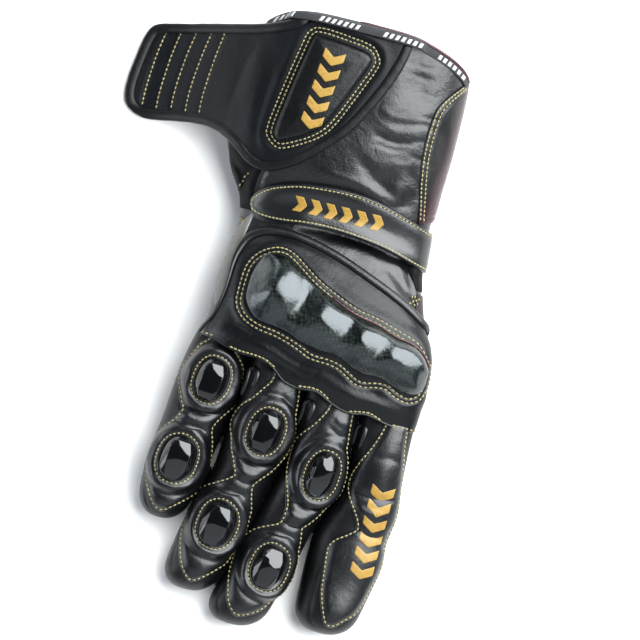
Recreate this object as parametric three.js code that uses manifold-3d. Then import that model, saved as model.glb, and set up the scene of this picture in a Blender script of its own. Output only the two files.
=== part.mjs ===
// A right-hand leather motorcycle glove, lying palm down with its closure flap laid open beside the cuff.
// Millimetres. The fingers point to -Y and the cuff opens to +Y, the thumb's side is +X, and the table is z = 0.
// Plan positions are measured from a point near the middle of the knuckles. The whole glove is centred at the end.
import * as THREE from "three";
import { mergeVertices } from "three/addons/utils/BufferGeometryUtils.js";
import Module from "manifold-3d";

const wasm = await Module();
wasm.setup();

// Thicknesses and clearances
const GAP = 0.3; // between neighbouring pieces
const WALL = 2.0; // leather and lining of the hand, the cuff and the fingers
const PANEL = 1.3; // leather panels sewn on top
const FLAP = 2.6; // padded closure flap
const FLAP_LIFT = 0.8; // flap above the cuff it is sewn to
const PAD = 3.6; // raised pad over the wrist bone
const STRAP = 2.2;
const HEM = 1.2; // tape round the cuff's mouth
const HEM_WIDTH = 4.2;
const BINDING_RADIUS = 2.1; // rolled edge round the flap
const PIPING_RADIUS = 1.5; // rolled edge of the knuckle panel
const SEAM_MARGIN = 1.4; // leather outside a row of stitches
const GEM_HEIGHT = 4.4; // finger protectors above the finger
const GUARD_RIM = 2.6; // knuckle guard's edge above its panel

// How finely the round forms are divided
const HAND_SIDES = 24;
const HAND_STEP = 14;
const FINGER_SIDES = 12;
const FINGER_STEP = 16;
const TIP_STATIONS = [0, 0.45, 0.78, 0.97];

// Where one piece of the glove ends and the next begins
const CUFF_END = 156; // the cuff's body is made longer than this and cut at its hem
const WRIST_SPLIT = 49;
const ROOT_Y = -10; // the finger bodies start inside the hand
const HAND_END = -58;
const TIP_LENGTH = 14; // stretch over which a finger rounds off
const TIP_POWER = 2.5;
const FAR = 200;

const HAND_POWER = 2.35; // 2 is an ellipse, more is squarer
const FINGER_POWER = 2.25;

// Rows with named columns
const table = (columns, rows) =>
  rows.map((row) => Object.fromEntries(columns.map((name, i) => [name, row[i]])));

// The cuff and the hand, from the mouth to the finger roots. A negative low is cut flat by the table.
const HAND = table(
  ["y", "left", "right", "lowLeft", "lowRight", "top"],
  [
    [160, -59, 37, -2, -2, 50],
    [130, -64.5, 41, -2, -2, 50],
    [100, -69, 42, -2, -2, 48],
    [76, -68.5, 41.5, -2, -2, 45],
    [62, -62, 41.5, -2, -1, 40.5],
    [50, -54.5, 43, -1, 0, 37],
    [38, -52, 44.3, 1, 1, 37],
    [25, -53.5, 46.5, 2.5, 7, 41],
    [12, -55.5, 51.5, 3, 15, 44.5],
    [0, -56, 56.5, 3, 19, 46.5],
    [-12, -56.5, 60, 3, 19.5, 46.5],
    [-25, -59, 60.3, 3, 19, 44],
    [-40, -61.5, 60, 3, 18.5, 41],
    [-60, -62, 60, 3, 18, 37],
  ],
);
// The palm climbs over the folded thumb between these two places across it.
const PALM_CLIMB = { from: -32, to: -4 };

const FINGER_COLUMNS = ["y", "left", "right", "low", "top"];
const FINGERS = {
  little: {
    tipY: -116.2,
    rows: table(FINGER_COLUMNS, [
      [-10, -58.5, -28.6, 5, 38],
      [-40, -61.5, -29.3, 4.5, 35.5],
      [-55, -62.8, -30.6, 2.5, 32.5],
      [-70, -64, -32.6, 0, 30.5],
      [-85, -66, -34, -1.5, 29],
      [-100, -65.8, -36.8, -1.5, 26.5],
      [-116, -64.5, -39.5, -1.5, 24],
    ]),
  },
  ring: {
    tipY: -147.6,
    rows: table(FINGER_COLUMNS, [
      [-10, -28, 1, 16, 43],
      [-40, -28.8, 1.4, 15, 41],
      [-55, -30, 2.7, 10.5, 38],
      [-70, -32, 2.2, 5, 34.5],
      [-85, -33.5, -2.2, 0, 31],
      [-100, -36.3, -5.9, -1.5, 28.5],
      [-112, -39.6, -8.8, -1.5, 27.5],
      [-125, -42, -11.8, -1.5, 26],
      [-147, -44.5, -17.4, -1.5, 24],
    ]),
  },
  middle: {
    tipY: -158.6,
    rows: table(FINGER_COLUMNS, [
      [-10, 1.6, 30.2, 19, 43],
      [-40, 1.9, 30.6, 18.5, 41],
      [-55, 3.2, 31.4, 14, 38.5],
      [-70, 2.8, 32, 8.5, 35.5],
      [-85, -1.6, 30, 3, 32],
      [-100, -5.3, 24.4, -0.5, 29],
      [-112, -8.3, 21.6, -1.5, 27.5],
      [-125, -11.2, 18.8, -1.5, 26.5],
      [-145, -16.8, 13.6, -1.5, 25],
      [-158, -19.5, 10.5, -1.5, 23.5],
    ]),
  },
  index: {
    tipY: -151.6,
    rows: table(FINGER_COLUMNS, [
      [-10, 31, 58.5, 19, 39],
      [-40, 31.3, 60, 18, 38],
      [-55, 32, 60.2, 13, 36],
      [-70, 32.6, 61.3, 7, 33.5],
      [-85, 30.6, 63, 2, 31],
      [-100, 25, 61.4, -1.5, 28.5],
      [-112, 24.1, 62.2, -1.5, 27.5],
      [-125, 24.2, 60, -1.5, 26],
      [-151, 25.2, 55, -1.5, 24],
    ]),
  },
};

// The thumb's middle line and half sizes, from inside the hand to where it rounds off under the palm
const THUMB = table(
  ["x", "y", "z", "halfWidth", "halfHeight"],
  [
    [34, 31, 14.5, 11.5, 9.5],
    [36.5, 21, 11, 13, 9.8],
    [36.5, 8, 8.6, 13.4, 9],
    [31, -6, 8, 13, 8.8],
    [22, -17, 7.9, 12.4, 8.6],
    [12, -26, 7.8, 11.6, 8.4],
  ],
);
const THUMB_SIDES = 12;

// Rows of stitches round the leather on each finger's back: its left and right side at each y
const BACK_COLUMNS = ["y", "left", "right"];
const FINGER_BACKS = {
  little: table(BACK_COLUMNS, [
    [-16, -50, -41],
    [-24, -52, -38],
    [-33, -57, -31.8],
    [-43, -60.5, -29.2],
    [-49, -59.5, -28.8],
    [-55, -57, -32],
    [-61, -54.5, -37],
    [-66, -56.5, -38.4],
    [-73, -62.3, -36.5],
    [-81, -64.8, -35.2],
    [-91, -65.3, -35.4],
    [-98, -63.8, -37.8],
    [-105, -60, -44],
    [-111.5, -53.5, -52.5],
  ]),
  ring: table(BACK_COLUMNS, [
    [-22, -13.5, -3],
    [-36, -15.5, -2],
    [-43, -20, -0.7],
    [-50, -25.5, 0.3],
    [-57, -28.8, 1.4],
    [-63, -29, 1.4],
    [-69, -26.8, 0.8],
    [-77, -24, -2.8],
    [-85.5, -20.7, -9.7],
    [-89, -24, -11.3],
    [-93, -30.5, -11],
    [-98, -35.2, -10],
    [-106, -38, -9.6],
    [-116, -39, -10.4],
    [-127, -37.8, -13.4],
    [-134, -35.5, -18],
    [-138.5, -33, -23],
    [-142.5, -29.5, -28.5],
  ]),
  middle: table(BACK_COLUMNS, [
    [-26, 17.5, 27],
    [-41, 16, 27.5],
    [-48, 13, 28],
    [-55, 8, 28.7],
    [-61, 4.9, 29.3],
    [-68, 4.5, 30],
    [-75, 4.5, 30.2],
    [-82, 5.5, 29.8],
    [-89, 7.3, 27.5],
    [-95, 8.5, 24],
    [-99.5, 8.2, 20.8],
    [-103.5, 5.8, 18.2],
    [-107.5, -1, 18],
    [-112, -6.4, 18.4],
    [-119, -9, 18.4],
    [-128, -10.4, 17],
    [-138, -9.6, 14.2],
    [-146, -7.2, 9.6],
    [-150.5, -4.8, 4.5],
    [-153, -2, -1],
  ]),
  index: table(BACK_COLUMNS, [
    [-28, 48, 56],
    [-43, 45.5, 56.3],
    [-52, 43, 57.2],
    [-62, 39, 58.8],
    [-71, 36, 60.2],
    [-78, 36.2, 61.2],
    [-85, 40, 61.6],
    [-92, 44, 61],
    [-96, 45, 60],
    [-100, 42, 59.6],
    [-104, 36.6, 60],
    [-109.5, 34, 60.8],
    [-118, 34.4, 60],
    [-128, 35.8, 57.8],
    [-137, 38, 54.4],
    [-143, 40.5, 49.5],
    [-146.5, 43.5, 44.5],
  ]),
};

// Hard protectors on the finger backs: middle of each, all alike
const GEMS = table(
  ["finger", "x", "y"],
  [
    ["little", -45, -42.6],
    ["little", -51, -84.8],
    ["ring", -12.2, -60.2],
    ["ring", -23.6, -111.7],
    ["middle", 19.8, -74.2],
    ["middle", 6.6, -125.8],
  ],
);
const GEM = { halfWidth: 6.6, halfLength: 10.6, turn: -6, points: 8 };

// The seam where the knuckle panel lies over the finger roots, from the little finger's side to the thumb's
const ROOT_SEAM = [
  [-70, -20],
  [-58, -21.5],
  [-48, -23],
  [-38, -25.8],
  [-25, -26.3],
  [-17, -29],
  [-10, -34.5],
  [-3, -36],
  [7, -35],
  [15, -38.5],
  [22, -41],
  [28, -41],
  [35, -39.5],
  [42, -41.5],
  [50, -42.5],
  [70, -43],
];
// The cuff's mouth as seen from above
const HEM_EDGE = [
  [-90, 112],
  [-70, 131],
  [-62, 139],
  [-55, 144],
  [-47, 146.5],
  [-36, 147.8],
  [-10, 148.2],
  [8, 147.8],
  [20, 145.3],
  [31, 141.3],
  [38.5, 136.2],
  [42.5, 129],
  [60, 100],
];
// The knuckle panel's rolled edge towards the wrist
const PANEL_TOP = [
  [-50.5, 22],
  [-47.5, 30],
  [-41, 35.3],
  [-32, 38],
  [-22, 38.8],
  [-11, 37.6],
  [0, 34.6],
  [15, 29.3],
  [30, 23.3],
  [42, 17.9],
  [47, 15],
];
const PANEL_LEFT = [
  [-54.5, -21],
  [-52.5, -10],
  [-50.8, 2],
  [-50.6, 13],
];
// The hard guard's outline, clockwise from its wrist end on the little finger's side
const GUARD_OUTLINE = [
  [-39, 6],
  [-38.6, 15],
  [-36, 21.5],
  [-31, 25.8],
  [-24.5, 26.3],
  [-17, 23],
  [-9, 18.3],
  [0, 13.4],
  [10, 9],
  [19, 6.2],
  [29, 4.2],
  [38, 1],
  [46, 0],
  [52.5, -3],
  [57, -9.5],
  [58.4, -17],
  [56, -23.5],
  [50.5, -24.8],
  [43, -22.9],
  [35.5, -20.4],
  [27.5, -21.2],
  [20.5, -18.6],
  [12, -15],
  [2, -15],
  [-8, -12.7],
  [-18, -9.6],
  [-28, -8.6],
  [-34.5, -5.4],
  [-38, 0],
];
// The guard's four bumps, one over each knuckle
const GUARD_BUMPS = table(
  ["x", "y", "radiusX", "radiusY", "height"],
  [
    [-25.5, 8.5, 14.5, 17.5, 11],
    [-3, 2.5, 13.5, 15.5, 10.5],
    [20, -5, 13.5, 13, 9.5],
    [42.5, -11.5, 15, 12, 9],
  ],
);
const GUARD_TURN = -15; // degrees, the row of knuckles slants across the hand

const STRAP_OUTLINE = [
  [62, 51],
  [52, 53.5],
  [43, 56.2],
  [30, 60.8],
  [15, 64.5],
  [0, 66.2],
  [-15, 65.9],
  [-30, 63.2],
  [-40, 59.8],
  [-46, 55],
  [-48.8, 49.5],
  [-46.5, 44.2],
  [-40, 41.8],
  [-28, 42.3],
  [-14, 44.3],
  [0, 44.9],
  [15, 43.7],
  [30, 40.2],
  [44, 35.8],
  [62, 30],
];
const PANEL_LOWEST = 32; // the knuckle panel's edge on the thumb side
const STRAP_LOWEST = 9; // where the strap is sewn into the thumb-side seam

// The closure flap's outer edge, from its corner at the hem round the tab and back to the hem
const FLAP_EDGE = [
  [9.5, 142.6],
  [7, 131],
  [2.8, 118],
  [-3.5, 105],
  [-10.5, 93.5],
  [-19, 83.5],
  [-28, 75.5],
  [-37, 69],
  [-46, 65.6],
  [-54, 67.2],
  [-62, 72.6],
  [-70, 77.2],
  [-79, 79],
  [-92, 78],
  [-108, 75.3],
  [-118, 76.8],
  [-123, 82],
  [-124.3, 92],
  [-123, 107],
  [-120, 118.6],
  [-112, 123.8],
  [-95, 128],
  [-75, 133],
  [-64, 136],
  [-54, 139.4],
  [-44, 141.6],
];
// The flap leaves the cuff's shoulder, and has come down on the table at its far end
const FLAP_SHOULDER = -44;
const FLAP_LANDING = -114;
const PAD_OUTLINE = [
  [-37, 137],
  [-22, 136.6],
  [-11, 135.4],
  [-9.3, 132],
  [-13, 121],
  [-18, 108],
  [-24.5, 95.5],
  [-33, 87.6],
  [-41, 83],
  [-44.8, 83.6],
  [-45.3, 90],
  [-44, 105],
  [-41.5, 120],
  [-39.7, 133],
];
// The double-stitched seam of the cuff's thumb-side panel
const SIDE_SEAM = [
  [40, 131.5],
  [34.5, 122],
  [30.5, 114],
  [29.3, 102],
  [30, 90],
  [33, 77],
  [35.6, 66],
];

const black = (roughness, color = 0x17191c, metalness = 0) =>
  new THREE.MeshStandardMaterial({ color, roughness, metalness });
const MATERIALS = {
  leather: black(0.5),
  shellLeather: black(0.55, 0x1c1e21),
  strapLeather: black(0.45, 0x24272b),
  tape: black(0.9, 0x121315),
  carbon: black(0.12, 0x14171b),
  gem: black(0.08, 0x050506),
};

const clamp01 = (t) => Math.min(1, Math.max(0, t));
const smoothstep = (from, to, x) => {
  const t = clamp01((x - from) / (to - from));
  return t * t * (3 - 2 * t);
};
const smoothMax = (a, b, k) => {
  const h = Math.max(k - Math.abs(a - b), 0) / k;
  return Math.max(a, b) + (h * h * k) / 4;
};

// A table's row at any y, on a smooth curve through the rows, which run down from high y to low
function rowAt(rows, y) {
  const last = rows.length - 1;
  const clamped = Math.min(rows[0].y, Math.max(rows[last].y, y));
  const i = Math.min(last - 1, Math.max(0, rows.findIndex((r) => clamped >= r.y) - 1));
  const [a, b] = [rows[i], rows[i + 1]];
  const [before, after] = [rows[Math.max(0, i - 1)], rows[Math.min(last, i + 2)]];
  const span = b.y - a.y;
  const t = (clamped - a.y) / span;
  const row = { y };
  for (const key of Object.keys(a)) {
    if (key === "y") continue;
    const slopeA = (b[key] - before[key]) / (b.y - before.y);
    const slopeB = (after[key] - a[key]) / (after.y - a.y);
    row[key] =
      (2 * t ** 3 - 3 * t ** 2 + 1) * a[key] +
      (t ** 3 - 2 * t ** 2 + t) * span * slopeA +
      (3 * t ** 2 - 2 * t ** 3) * b[key] +
      (t ** 3 - t ** 2) * span * slopeB;
  }
  return row;
}

// Points on a smooth curve through plan points
function smoothLine(points, perSpan = 2, closed = false) {
  const curve = new THREE.CatmullRomCurve3(
    points.map(([x, y]) => new THREE.Vector3(x, y, 0)),
    closed,
    "centripetal",
  );
  const count = (closed ? points.length : points.length - 1) * perSpan;
  const line = Array.from({ length: count + 1 }, (_, i) => curve.getPoint(i / count));
  if (closed) line.pop();
  return line.map((p) => new THREE.Vector2(p.x, p.y));
}

// The y of a plan line at x, the line running from low x to high
function lineY(line, x) {
  const i = Math.min(line.length - 2, Math.max(0, line.findIndex((p) => p.x > x) - 1));
  const t = (x - line[i].x) / (line[i + 1].x - line[i].x);
  return line[i].y + t * (line[i + 1].y - line[i].y);
}

// A closed plan outline moved outwards, or inwards when the distance is negative
function grow(outline, distance) {
  const side = THREE.ShapeUtils.area(outline) > 0 ? 1 : -1;
  return outline.map((p, i) => {
    const before = outline[(i + outline.length - 1) % outline.length];
    const after = outline[(i + 1) % outline.length];
    const along = new THREE.Vector2().subVectors(after, before).normalize();
    return new THREE.Vector2(p.x + side * along.y * distance, p.y - side * along.x * distance);
  });
}

function solidOf(geometry) {
  const bare = geometry.clone();
  for (const name of Object.keys(bare.attributes)) if (name !== "position") bare.deleteAttribute(name);
  const merged = mergeVertices(bare, 1e-4);
  return new wasm.Manifold(
    new wasm.Mesh({
      numProp: 3,
      vertProperties: new Float32Array(merged.attributes.position.array),
      triVerts: new Uint32Array(merged.index.array),
    }),
  );
}

function geometryOf(solid) {
  const { vertProperties, triVerts, numProp } = solid.getMesh();
  const position = new Float32Array((vertProperties.length / numProp) * 3);
  for (let i = 0; i * 3 < position.length; i++)
    position.set(vertProperties.subarray(i * numProp, i * numProp + 3), i * 3);
  const geometry = new THREE.BufferGeometry();
  geometry.setAttribute("position", new THREE.BufferAttribute(position, 3));
  geometry.setIndex(new THREE.BufferAttribute(new Uint32Array(triVerts), 1));
  geometry.computeVertexNormals();
  return geometry;
}

// A closed solid through rings of points, with a fan over each end
function loft(rings) {
  const count = rings[0].length;
  const middle = (ring) => ring.reduce((sum, p) => sum.add(p), new THREE.Vector3()).divideScalar(count);
  const points = [...rings.flat(), middle(rings[0]), middle(rings.at(-1))];
  const [startCap, endCap, lastRing] = [points.length - 2, points.length - 1, (rings.length - 1) * count];
  const index = [];
  for (let k = 0; k < count; k++) {
    const next = (k + 1) % count;
    for (let i = 0; i + 1 < rings.length; i++) {
      const [a, b] = [i * count + k, i * count + next];
      index.push(a, b, a + count, b, b + count, a + count);
    }
    index.push(startCap, next, k, endCap, lastRing + k, lastRing + next);
  }
  const geometry = new THREE.BufferGeometry().setFromPoints(points);
  geometry.setIndex(index);
  return solidOf(geometry);
}

// A plan outline as a solid between two heights
function prism(outline, low = -FAR, high = FAR) {
  const geometry = new THREE.ExtrudeGeometry(new THREE.Shape(outline), {
    depth: high - low,
    bevelEnabled: false,
  });
  return solidOf(geometry.translate(0, 0, low));
}

// The side of a plan line that lies towards the cuff (+1) or towards the fingertips (-1)
function beyond(line, side, shift = 0) {
  const moved = line.map((p) => new THREE.Vector2(p.x, p.y + shift));
  const [first, last] = [moved[0], moved.at(-1)];
  return prism([
    new THREE.Vector2(first.x, side * FAR * 2),
    ...moved,
    new THREE.Vector2(last.x, side * FAR * 2),
  ]);
}

const underside = (row, x) =>
  row.low ??
  row.lowLeft + (row.lowRight - row.lowLeft) * smoothstep(PALM_CLIMB.from, PALM_CLIMB.to, x);

// One section of the hand or a finger: a rounded box, flat where it lies on the table
function section(row, y, inset, sides, power, scale = 1) {
  const middle = (row.left + row.right) / 2;
  const half = (row.right - row.left) / 2 - inset;
  const rest = underside(row, middle) + 0.45 * (row.top - underside(row, middle));
  return Array.from({ length: sides }, (_, k) => {
    const angle = (2 * Math.PI * (k + 0.5)) / sides;
    const across = Math.sign(Math.cos(angle)) * Math.abs(Math.cos(angle)) ** (2 / power);
    const rise = Math.abs(Math.sin(angle)) ** (2 / power);
    const x = middle + half * across;
    const waist = (row.top + underside(row, x)) / 2;
    const reach = (Math.sin(angle) > 0 ? row.top - waist : waist - underside(row, x)) - inset;
    const z = Math.max(inset, waist + Math.sign(Math.sin(angle)) * reach * rise);
    return new THREE.Vector3(middle + (x - middle) * scale, y, rest + (z - rest) * scale);
  });
}

// The hand and cuff in one piece, or the same form drawn in by an inset
function handBody(inset) {
  const steps = Math.round((CUFF_END - HAND_END) / HAND_STEP);
  const rings = Array.from({ length: steps + 1 }, (_, i) => {
    const y = CUFF_END + ((HAND_END - CUFF_END) * i) / steps;
    return section(rowAt(HAND, y), y, inset, HAND_SIDES, HAND_POWER);
  });
  return loft(rings);
}

function fingerBody({ rows, tipY }, inset) {
  const end = tipY + inset;
  const straight = Math.round((ROOT_Y - end - TIP_LENGTH) / FINGER_STEP);
  const stations = Array.from({ length: straight }, (_, i) => [
    ROOT_Y + ((end + TIP_LENGTH - ROOT_Y) * i) / straight,
    1,
  ]);
  for (const t of TIP_STATIONS)
    stations.push([end + TIP_LENGTH * (1 - t), (1 - t ** TIP_POWER) ** (1 / TIP_POWER)]);
  const rings = stations.map(([y, scale]) =>
    section(rowAt(rows, y), y, inset, FINGER_SIDES, FINGER_POWER, scale),
  );
  if (inset > 0)
    for (const ring of rings) for (const p of ring) p.z = Math.max(p.z, inset);
  return loft(rings);
}

// The thumb's rings stand across its middle line, which bends under the palm
function thumbBody(inset) {
  const line = new THREE.CatmullRomCurve3(THUMB.map((r) => new THREE.Vector3(r.x, r.y, r.z)));
  const up = new THREE.Vector3(0, 0, 1);
  const steps = 6;
  const ringAt = (share, forward, scale) => {
    const at = share * (THUMB.length - 1);
    const i = Math.min(THUMB.length - 2, Math.floor(at));
    const size = (key) => THREE.MathUtils.lerp(THUMB[i][key], THUMB[i + 1][key], at - i) - inset;
    const ahead = line.getTangent(share).setZ(0).normalize();
    const side = new THREE.Vector3().crossVectors(up, ahead);
    const centre = line.getPoint(share).addScaledVector(ahead, forward);
    return Array.from({ length: THUMB_SIDES }, (_, k) => {
      const angle = (2 * Math.PI * (k + 0.5)) / THUMB_SIDES;
      const across = Math.sign(Math.cos(angle)) * Math.abs(Math.cos(angle)) ** (2 / FINGER_POWER);
      const rise = Math.sign(Math.sin(angle)) * Math.abs(Math.sin(angle)) ** (2 / FINGER_POWER);
      const p = centre.clone().addScaledVector(side, size("halfWidth") * across * scale);
      return p.setZ(Math.max(inset, p.z + size("halfHeight") * rise * scale));
    });
  };
  const rings = Array.from({ length: steps }, (_, i) => ringAt(i / steps, 0, 1));
  const tip = TIP_LENGTH - inset;
  for (const t of TIP_STATIONS) rings.push(ringAt(1, tip * t, (1 - t ** TIP_POWER) ** (1 / TIP_POWER)));
  return loft(rings);
}

// Height of the hand's or cuff's back at a plan point, or undefined beside it
function backHeight(x, y, outset = 0) {
  const row = rowAt(HAND, y);
  const middle = (row.left + row.right) / 2;
  const across = Math.abs(x - middle) / ((row.right - row.left) / 2 + outset);
  if (across >= 1) return undefined;
  const waist = (row.top + underside(row, x)) / 2;
  return waist + (row.top - waist + outset) * (1 - across ** HAND_POWER) ** (1 / HAND_POWER);
}

const hemLine = smoothLine(HEM_EDGE, 1);
const rootSeam = smoothLine(ROOT_SEAM, 1);

// Underside of the closure flap: close over the cuff, up over its hem tape, then down to the table
function flapUnder(x, y) {
  const overHem = (HEM + GAP) * smoothstep(-HEM_WIDTH - 4, -HEM_WIDTH, y - lineY(hemLine, x));
  const shoulder = backHeight(FLAP_SHOULDER, y, FLAP_LIFT);
  const drape = shoulder * smoothstep(FLAP_LANDING, FLAP_SHOULDER + 4, x);
  const cuff = backHeight(x, y, FLAP_LIFT);
  return cuff === undefined ? drape : smoothMax(cuff + overHem, drape, 5);
}

// A sheet over a grid in plan, between two heights above the flap's underside, cut to an outline
function flapSheet(outline, low, high, step) {
  const box = new THREE.Box2().setFromPoints(outline).expandByScalar(1);
  const columns = Math.ceil((box.max.x - box.min.x) / step.x);
  const lines = Math.ceil((box.max.y - box.min.y) / step.y);
  const rings = Array.from({ length: columns + 1 }, (_, i) => {
    const x = box.min.x + ((box.max.x - box.min.x) * i) / columns;
    const row = Array.from({ length: lines + 1 }, (_, j) => {
      const y = box.min.y + ((box.max.y - box.min.y) * j) / lines;
      return new THREE.Vector3(x, y, flapUnder(x, y));
    });
    const lift = (p, height) => new THREE.Vector3(p.x, p.y, p.z + height);
    return [...row.map((p) => lift(p, high)), ...row.toReversed().map((p) => lift(p, low))];
  });
  return ringStack(rings).intersect(prism(outline));
}

// Rings that are long and flat: their ends are closed by strips and not by fans
function ringStack(rings) {
  const count = rings[0].length;
  const index = [];
  for (let i = 0; i + 1 < rings.length; i++)
    for (let k = 0; k < count; k++) {
      const [a, b] = [i * count + k, i * count + ((k + 1) % count)];
      index.push(a, a + count, b, b, a + count, b + count);
    }
  const last = (rings.length - 1) * count;
  for (let k = 0; k + 1 < count / 2; k++) {
    const [a, b, c, d] = [k, k + 1, count - 2 - k, count - 1 - k];
    index.push(a, b, c, a, c, d, last + a, last + c, last + b, last + a, last + d, last + c);
  }
  const geometry = new THREE.BufferGeometry().setFromPoints(rings.flat());
  geometry.setIndex(index);
  return solidOf(geometry);
}

// A round cord of leather along a line of points
function rolledEdge(points, radius, steps, sides = 8) {
  const circle = new THREE.Shape(
    Array.from({ length: sides }, (_, k) => {
      const angle = (2 * Math.PI * k) / sides;
      return new THREE.Vector2(radius * Math.cos(angle), radius * Math.sin(angle));
    }),
  );
  const path = new THREE.CatmullRomCurve3(points);
  return solidOf(new THREE.ExtrudeGeometry(circle, { steps, extrudePath: path, bevelEnabled: false }));
}

// A layer of leather lying on the hand's form, cut to a plan outline, above a height
function layerOnHand(outline, under, over, lowest) {
  return handBody(-over)
    .subtract(handBody(-under))
    .intersect(prism(outline, lowest, FAR));
}

const glove = new THREE.Group();

function addPiece(name, solid, material) {
  const piece = new THREE.Mesh(geometryOf(solid), material);
  piece.name = name;
  glove.add(piece);
}

// The thumb passes through the wall of the hand, so its inside opens both
const thumbInside = thumbBody(WALL);
const towardsFingers = new THREE.Vector2(0, -1);
const acrossWrist = [new THREE.Vector2(-FAR, WRIST_SPLIT), new THREE.Vector2(FAR, WRIST_SPLIT)];
const tube = handBody(0).subtract(handBody(WALL));
addPiece(
  "gauntlet_cuff",
  tube.intersect(beyond(acrossWrist, 1, GAP / 2)).intersect(beyond(hemLine, -1)),
  MATERIALS.shellLeather,
);
addPiece(
  "hand_shell",
  tube
    .intersect(beyond(acrossWrist, -1, -GAP / 2))
    .intersect(beyond(rootSeam, 1, GAP / 2))
    .subtract(thumbInside),
  MATERIALS.shellLeather,
);
addPiece("thumb_sleeve", thumbBody(0).subtract(thumbInside).subtract(handBody(-GAP)), MATERIALS.shellLeather);

// Each finger: a sleeve, the panel stitched to its back, and the protectors in windows of that panel
const belowRoots = beyond(rootSeam, -1, -GAP / 2);

// Everything above the widest level of a finger
function upperHalf(rows) {
  const waist = rows.map((r) => new THREE.Vector2(r.y, (r.top + r.low) / 2 + 0.6));
  const outline = [...waist, new THREE.Vector2(-FAR, 12), new THREE.Vector2(-FAR, FAR), new THREE.Vector2(FAR, FAR)];
  const acrossTable = new THREE.Matrix4().makeBasis(
    new THREE.Vector3(0, 1, 0),
    new THREE.Vector3(0, 0, 1),
    new THREE.Vector3(1, 0, 0),
  );
  return solidOf(geometryOf(prism(outline)).applyMatrix4(acrossTable));
}

// The outline of the leather on a finger's back, kept within the finger's own width
function backOutline(rows, fingerRows) {
  const left = rows.map((r) => new THREE.Vector2(r.left, r.y));
  const right = rows.toReversed().map((r) => new THREE.Vector2(r.right, r.y));
  return grow([...left, ...right], SEAM_MARGIN).map((p) => {
    const finger = rowAt(fingerRows, p.y);
    return p.setX(Math.min(finger.right - 0.1, Math.max(finger.left + 0.1, p.x)));
  });
}

// A protector's outline: long, with flat ends and sides, and cut corners
function gemOutline({ x, y }, share, shift = 0) {
  const turn = (GEM.turn * Math.PI) / 180;
  return Array.from({ length: GEM.points }, (_, k) => {
    const angle = (2 * Math.PI * (k + 0.5)) / GEM.points;
    const across = GEM.halfWidth * share * Math.sign(Math.cos(angle)) * Math.abs(Math.cos(angle)) ** 0.75;
    const along = GEM.halfLength * share * Math.sin(angle) + shift;
    return new THREE.Vector2(x, y).add(new THREE.Vector2(across, along).rotateAround(new THREE.Vector2(), turn));
  });
}

for (const [name, finger] of Object.entries(FINGERS)) {
  const outside = fingerBody(finger, 0);
  addPiece(
    name + "_finger",
    outside.subtract(fingerBody(finger, WALL)).intersect(belowRoots),
    MATERIALS.shellLeather,
  );
  const gems = GEMS.filter((gem) => gem.finger === name);
  let back = fingerBody(finger, -GAP - PANEL)
    .subtract(fingerBody(finger, -GAP))
    .intersect(prism(backOutline(FINGER_BACKS[name], finger.rows)))
    .intersect(upperHalf(finger.rows))
    .intersect(beyond(rootSeam, -1, -GAP));
  gems.forEach((gem, i) => {
    const row = rowAt(finger.rows, gem.y);
    const levels = [
      { z: row.top - 5, share: 1, shift: 0 },
      { z: row.top + 1.6, share: 1, shift: 0 },
      { z: row.top + GEM_HEIGHT, share: 0.62, shift: 1 },
    ];
    const rings = levels.map(({ z, share, shift }) =>
      gemOutline(gem, share, shift).map((p) => new THREE.Vector3(p.x, p.y, z)),
    );
    back = back.subtract(prism(gemOutline(gem, 1 + (2 * GAP) / GEM.halfWidth)));
    addPiece(
      name + "_guard_" + (i + 1),
      loft(rings).subtract(fingerBody(finger, -GAP)),
      MATERIALS.gem,
    );
  });
  addPiece(name + "_back_panel", back, MATERIALS.leather);
}

// The back of the hand: panel with its rolled edge, and the hard guard over the knuckles
const panelOutline = [
  ...smoothLine([...PANEL_LEFT, ...PANEL_TOP], 1),
  new THREE.Vector2(70, 0),
  ...rootSeam.filter((p) => p.x > PANEL_LEFT[0][0]).toReversed(),
];
const panelTop = GAP + PANEL;
addPiece("knuckle_panel", layerOnHand(panelOutline, GAP, panelTop, PANEL_LOWEST), MATERIALS.leather);

const pipingHeight = panelTop + PIPING_RADIUS + 0.25;
const onBack = (p, height) => new THREE.Vector3(p.x, p.y, backHeight(p.x, p.y) + height);
const pipingLine = smoothLine(PANEL_TOP).map((p) => onBack(p, pipingHeight));
addPiece(
  "knuckle_piping",
  rolledEdge(pipingLine, PIPING_RADIUS, 22, 6).subtract(handBody(-panelTop - 0.15)),
  MATERIALS.leather,
);

const guardBed = panelTop + GAP;
const guardFloor = handBody(-guardBed);
const guardOutline = smoothLine(GUARD_OUTLINE, 1, true);
let guard = handBody(-guardBed - GUARD_RIM);
for (const bump of GUARD_BUMPS) {
  const ball = new THREE.SphereGeometry(1, 12, 8)
    .scale(bump.radiusX, bump.radiusY, bump.height)
    .rotateZ((GUARD_TURN * Math.PI) / 180)
    .translate(bump.x, bump.y, backHeight(bump.x, bump.y) + guardBed);
  guard = guard.add(solidOf(ball));
}
addPiece("knuckle_guard", guard.subtract(guardFloor).intersect(prism(guardOutline, PANEL_LOWEST)), MATERIALS.carbon);

// The wrist strap lies over the joint of the hand and the cuff
const strapOutline = smoothLine(STRAP_OUTLINE, 1);
addPiece("wrist_strap", layerOnHand(strapOutline, GAP, GAP + STRAP, STRAP_LOWEST), MATERIALS.strapLeather);

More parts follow.
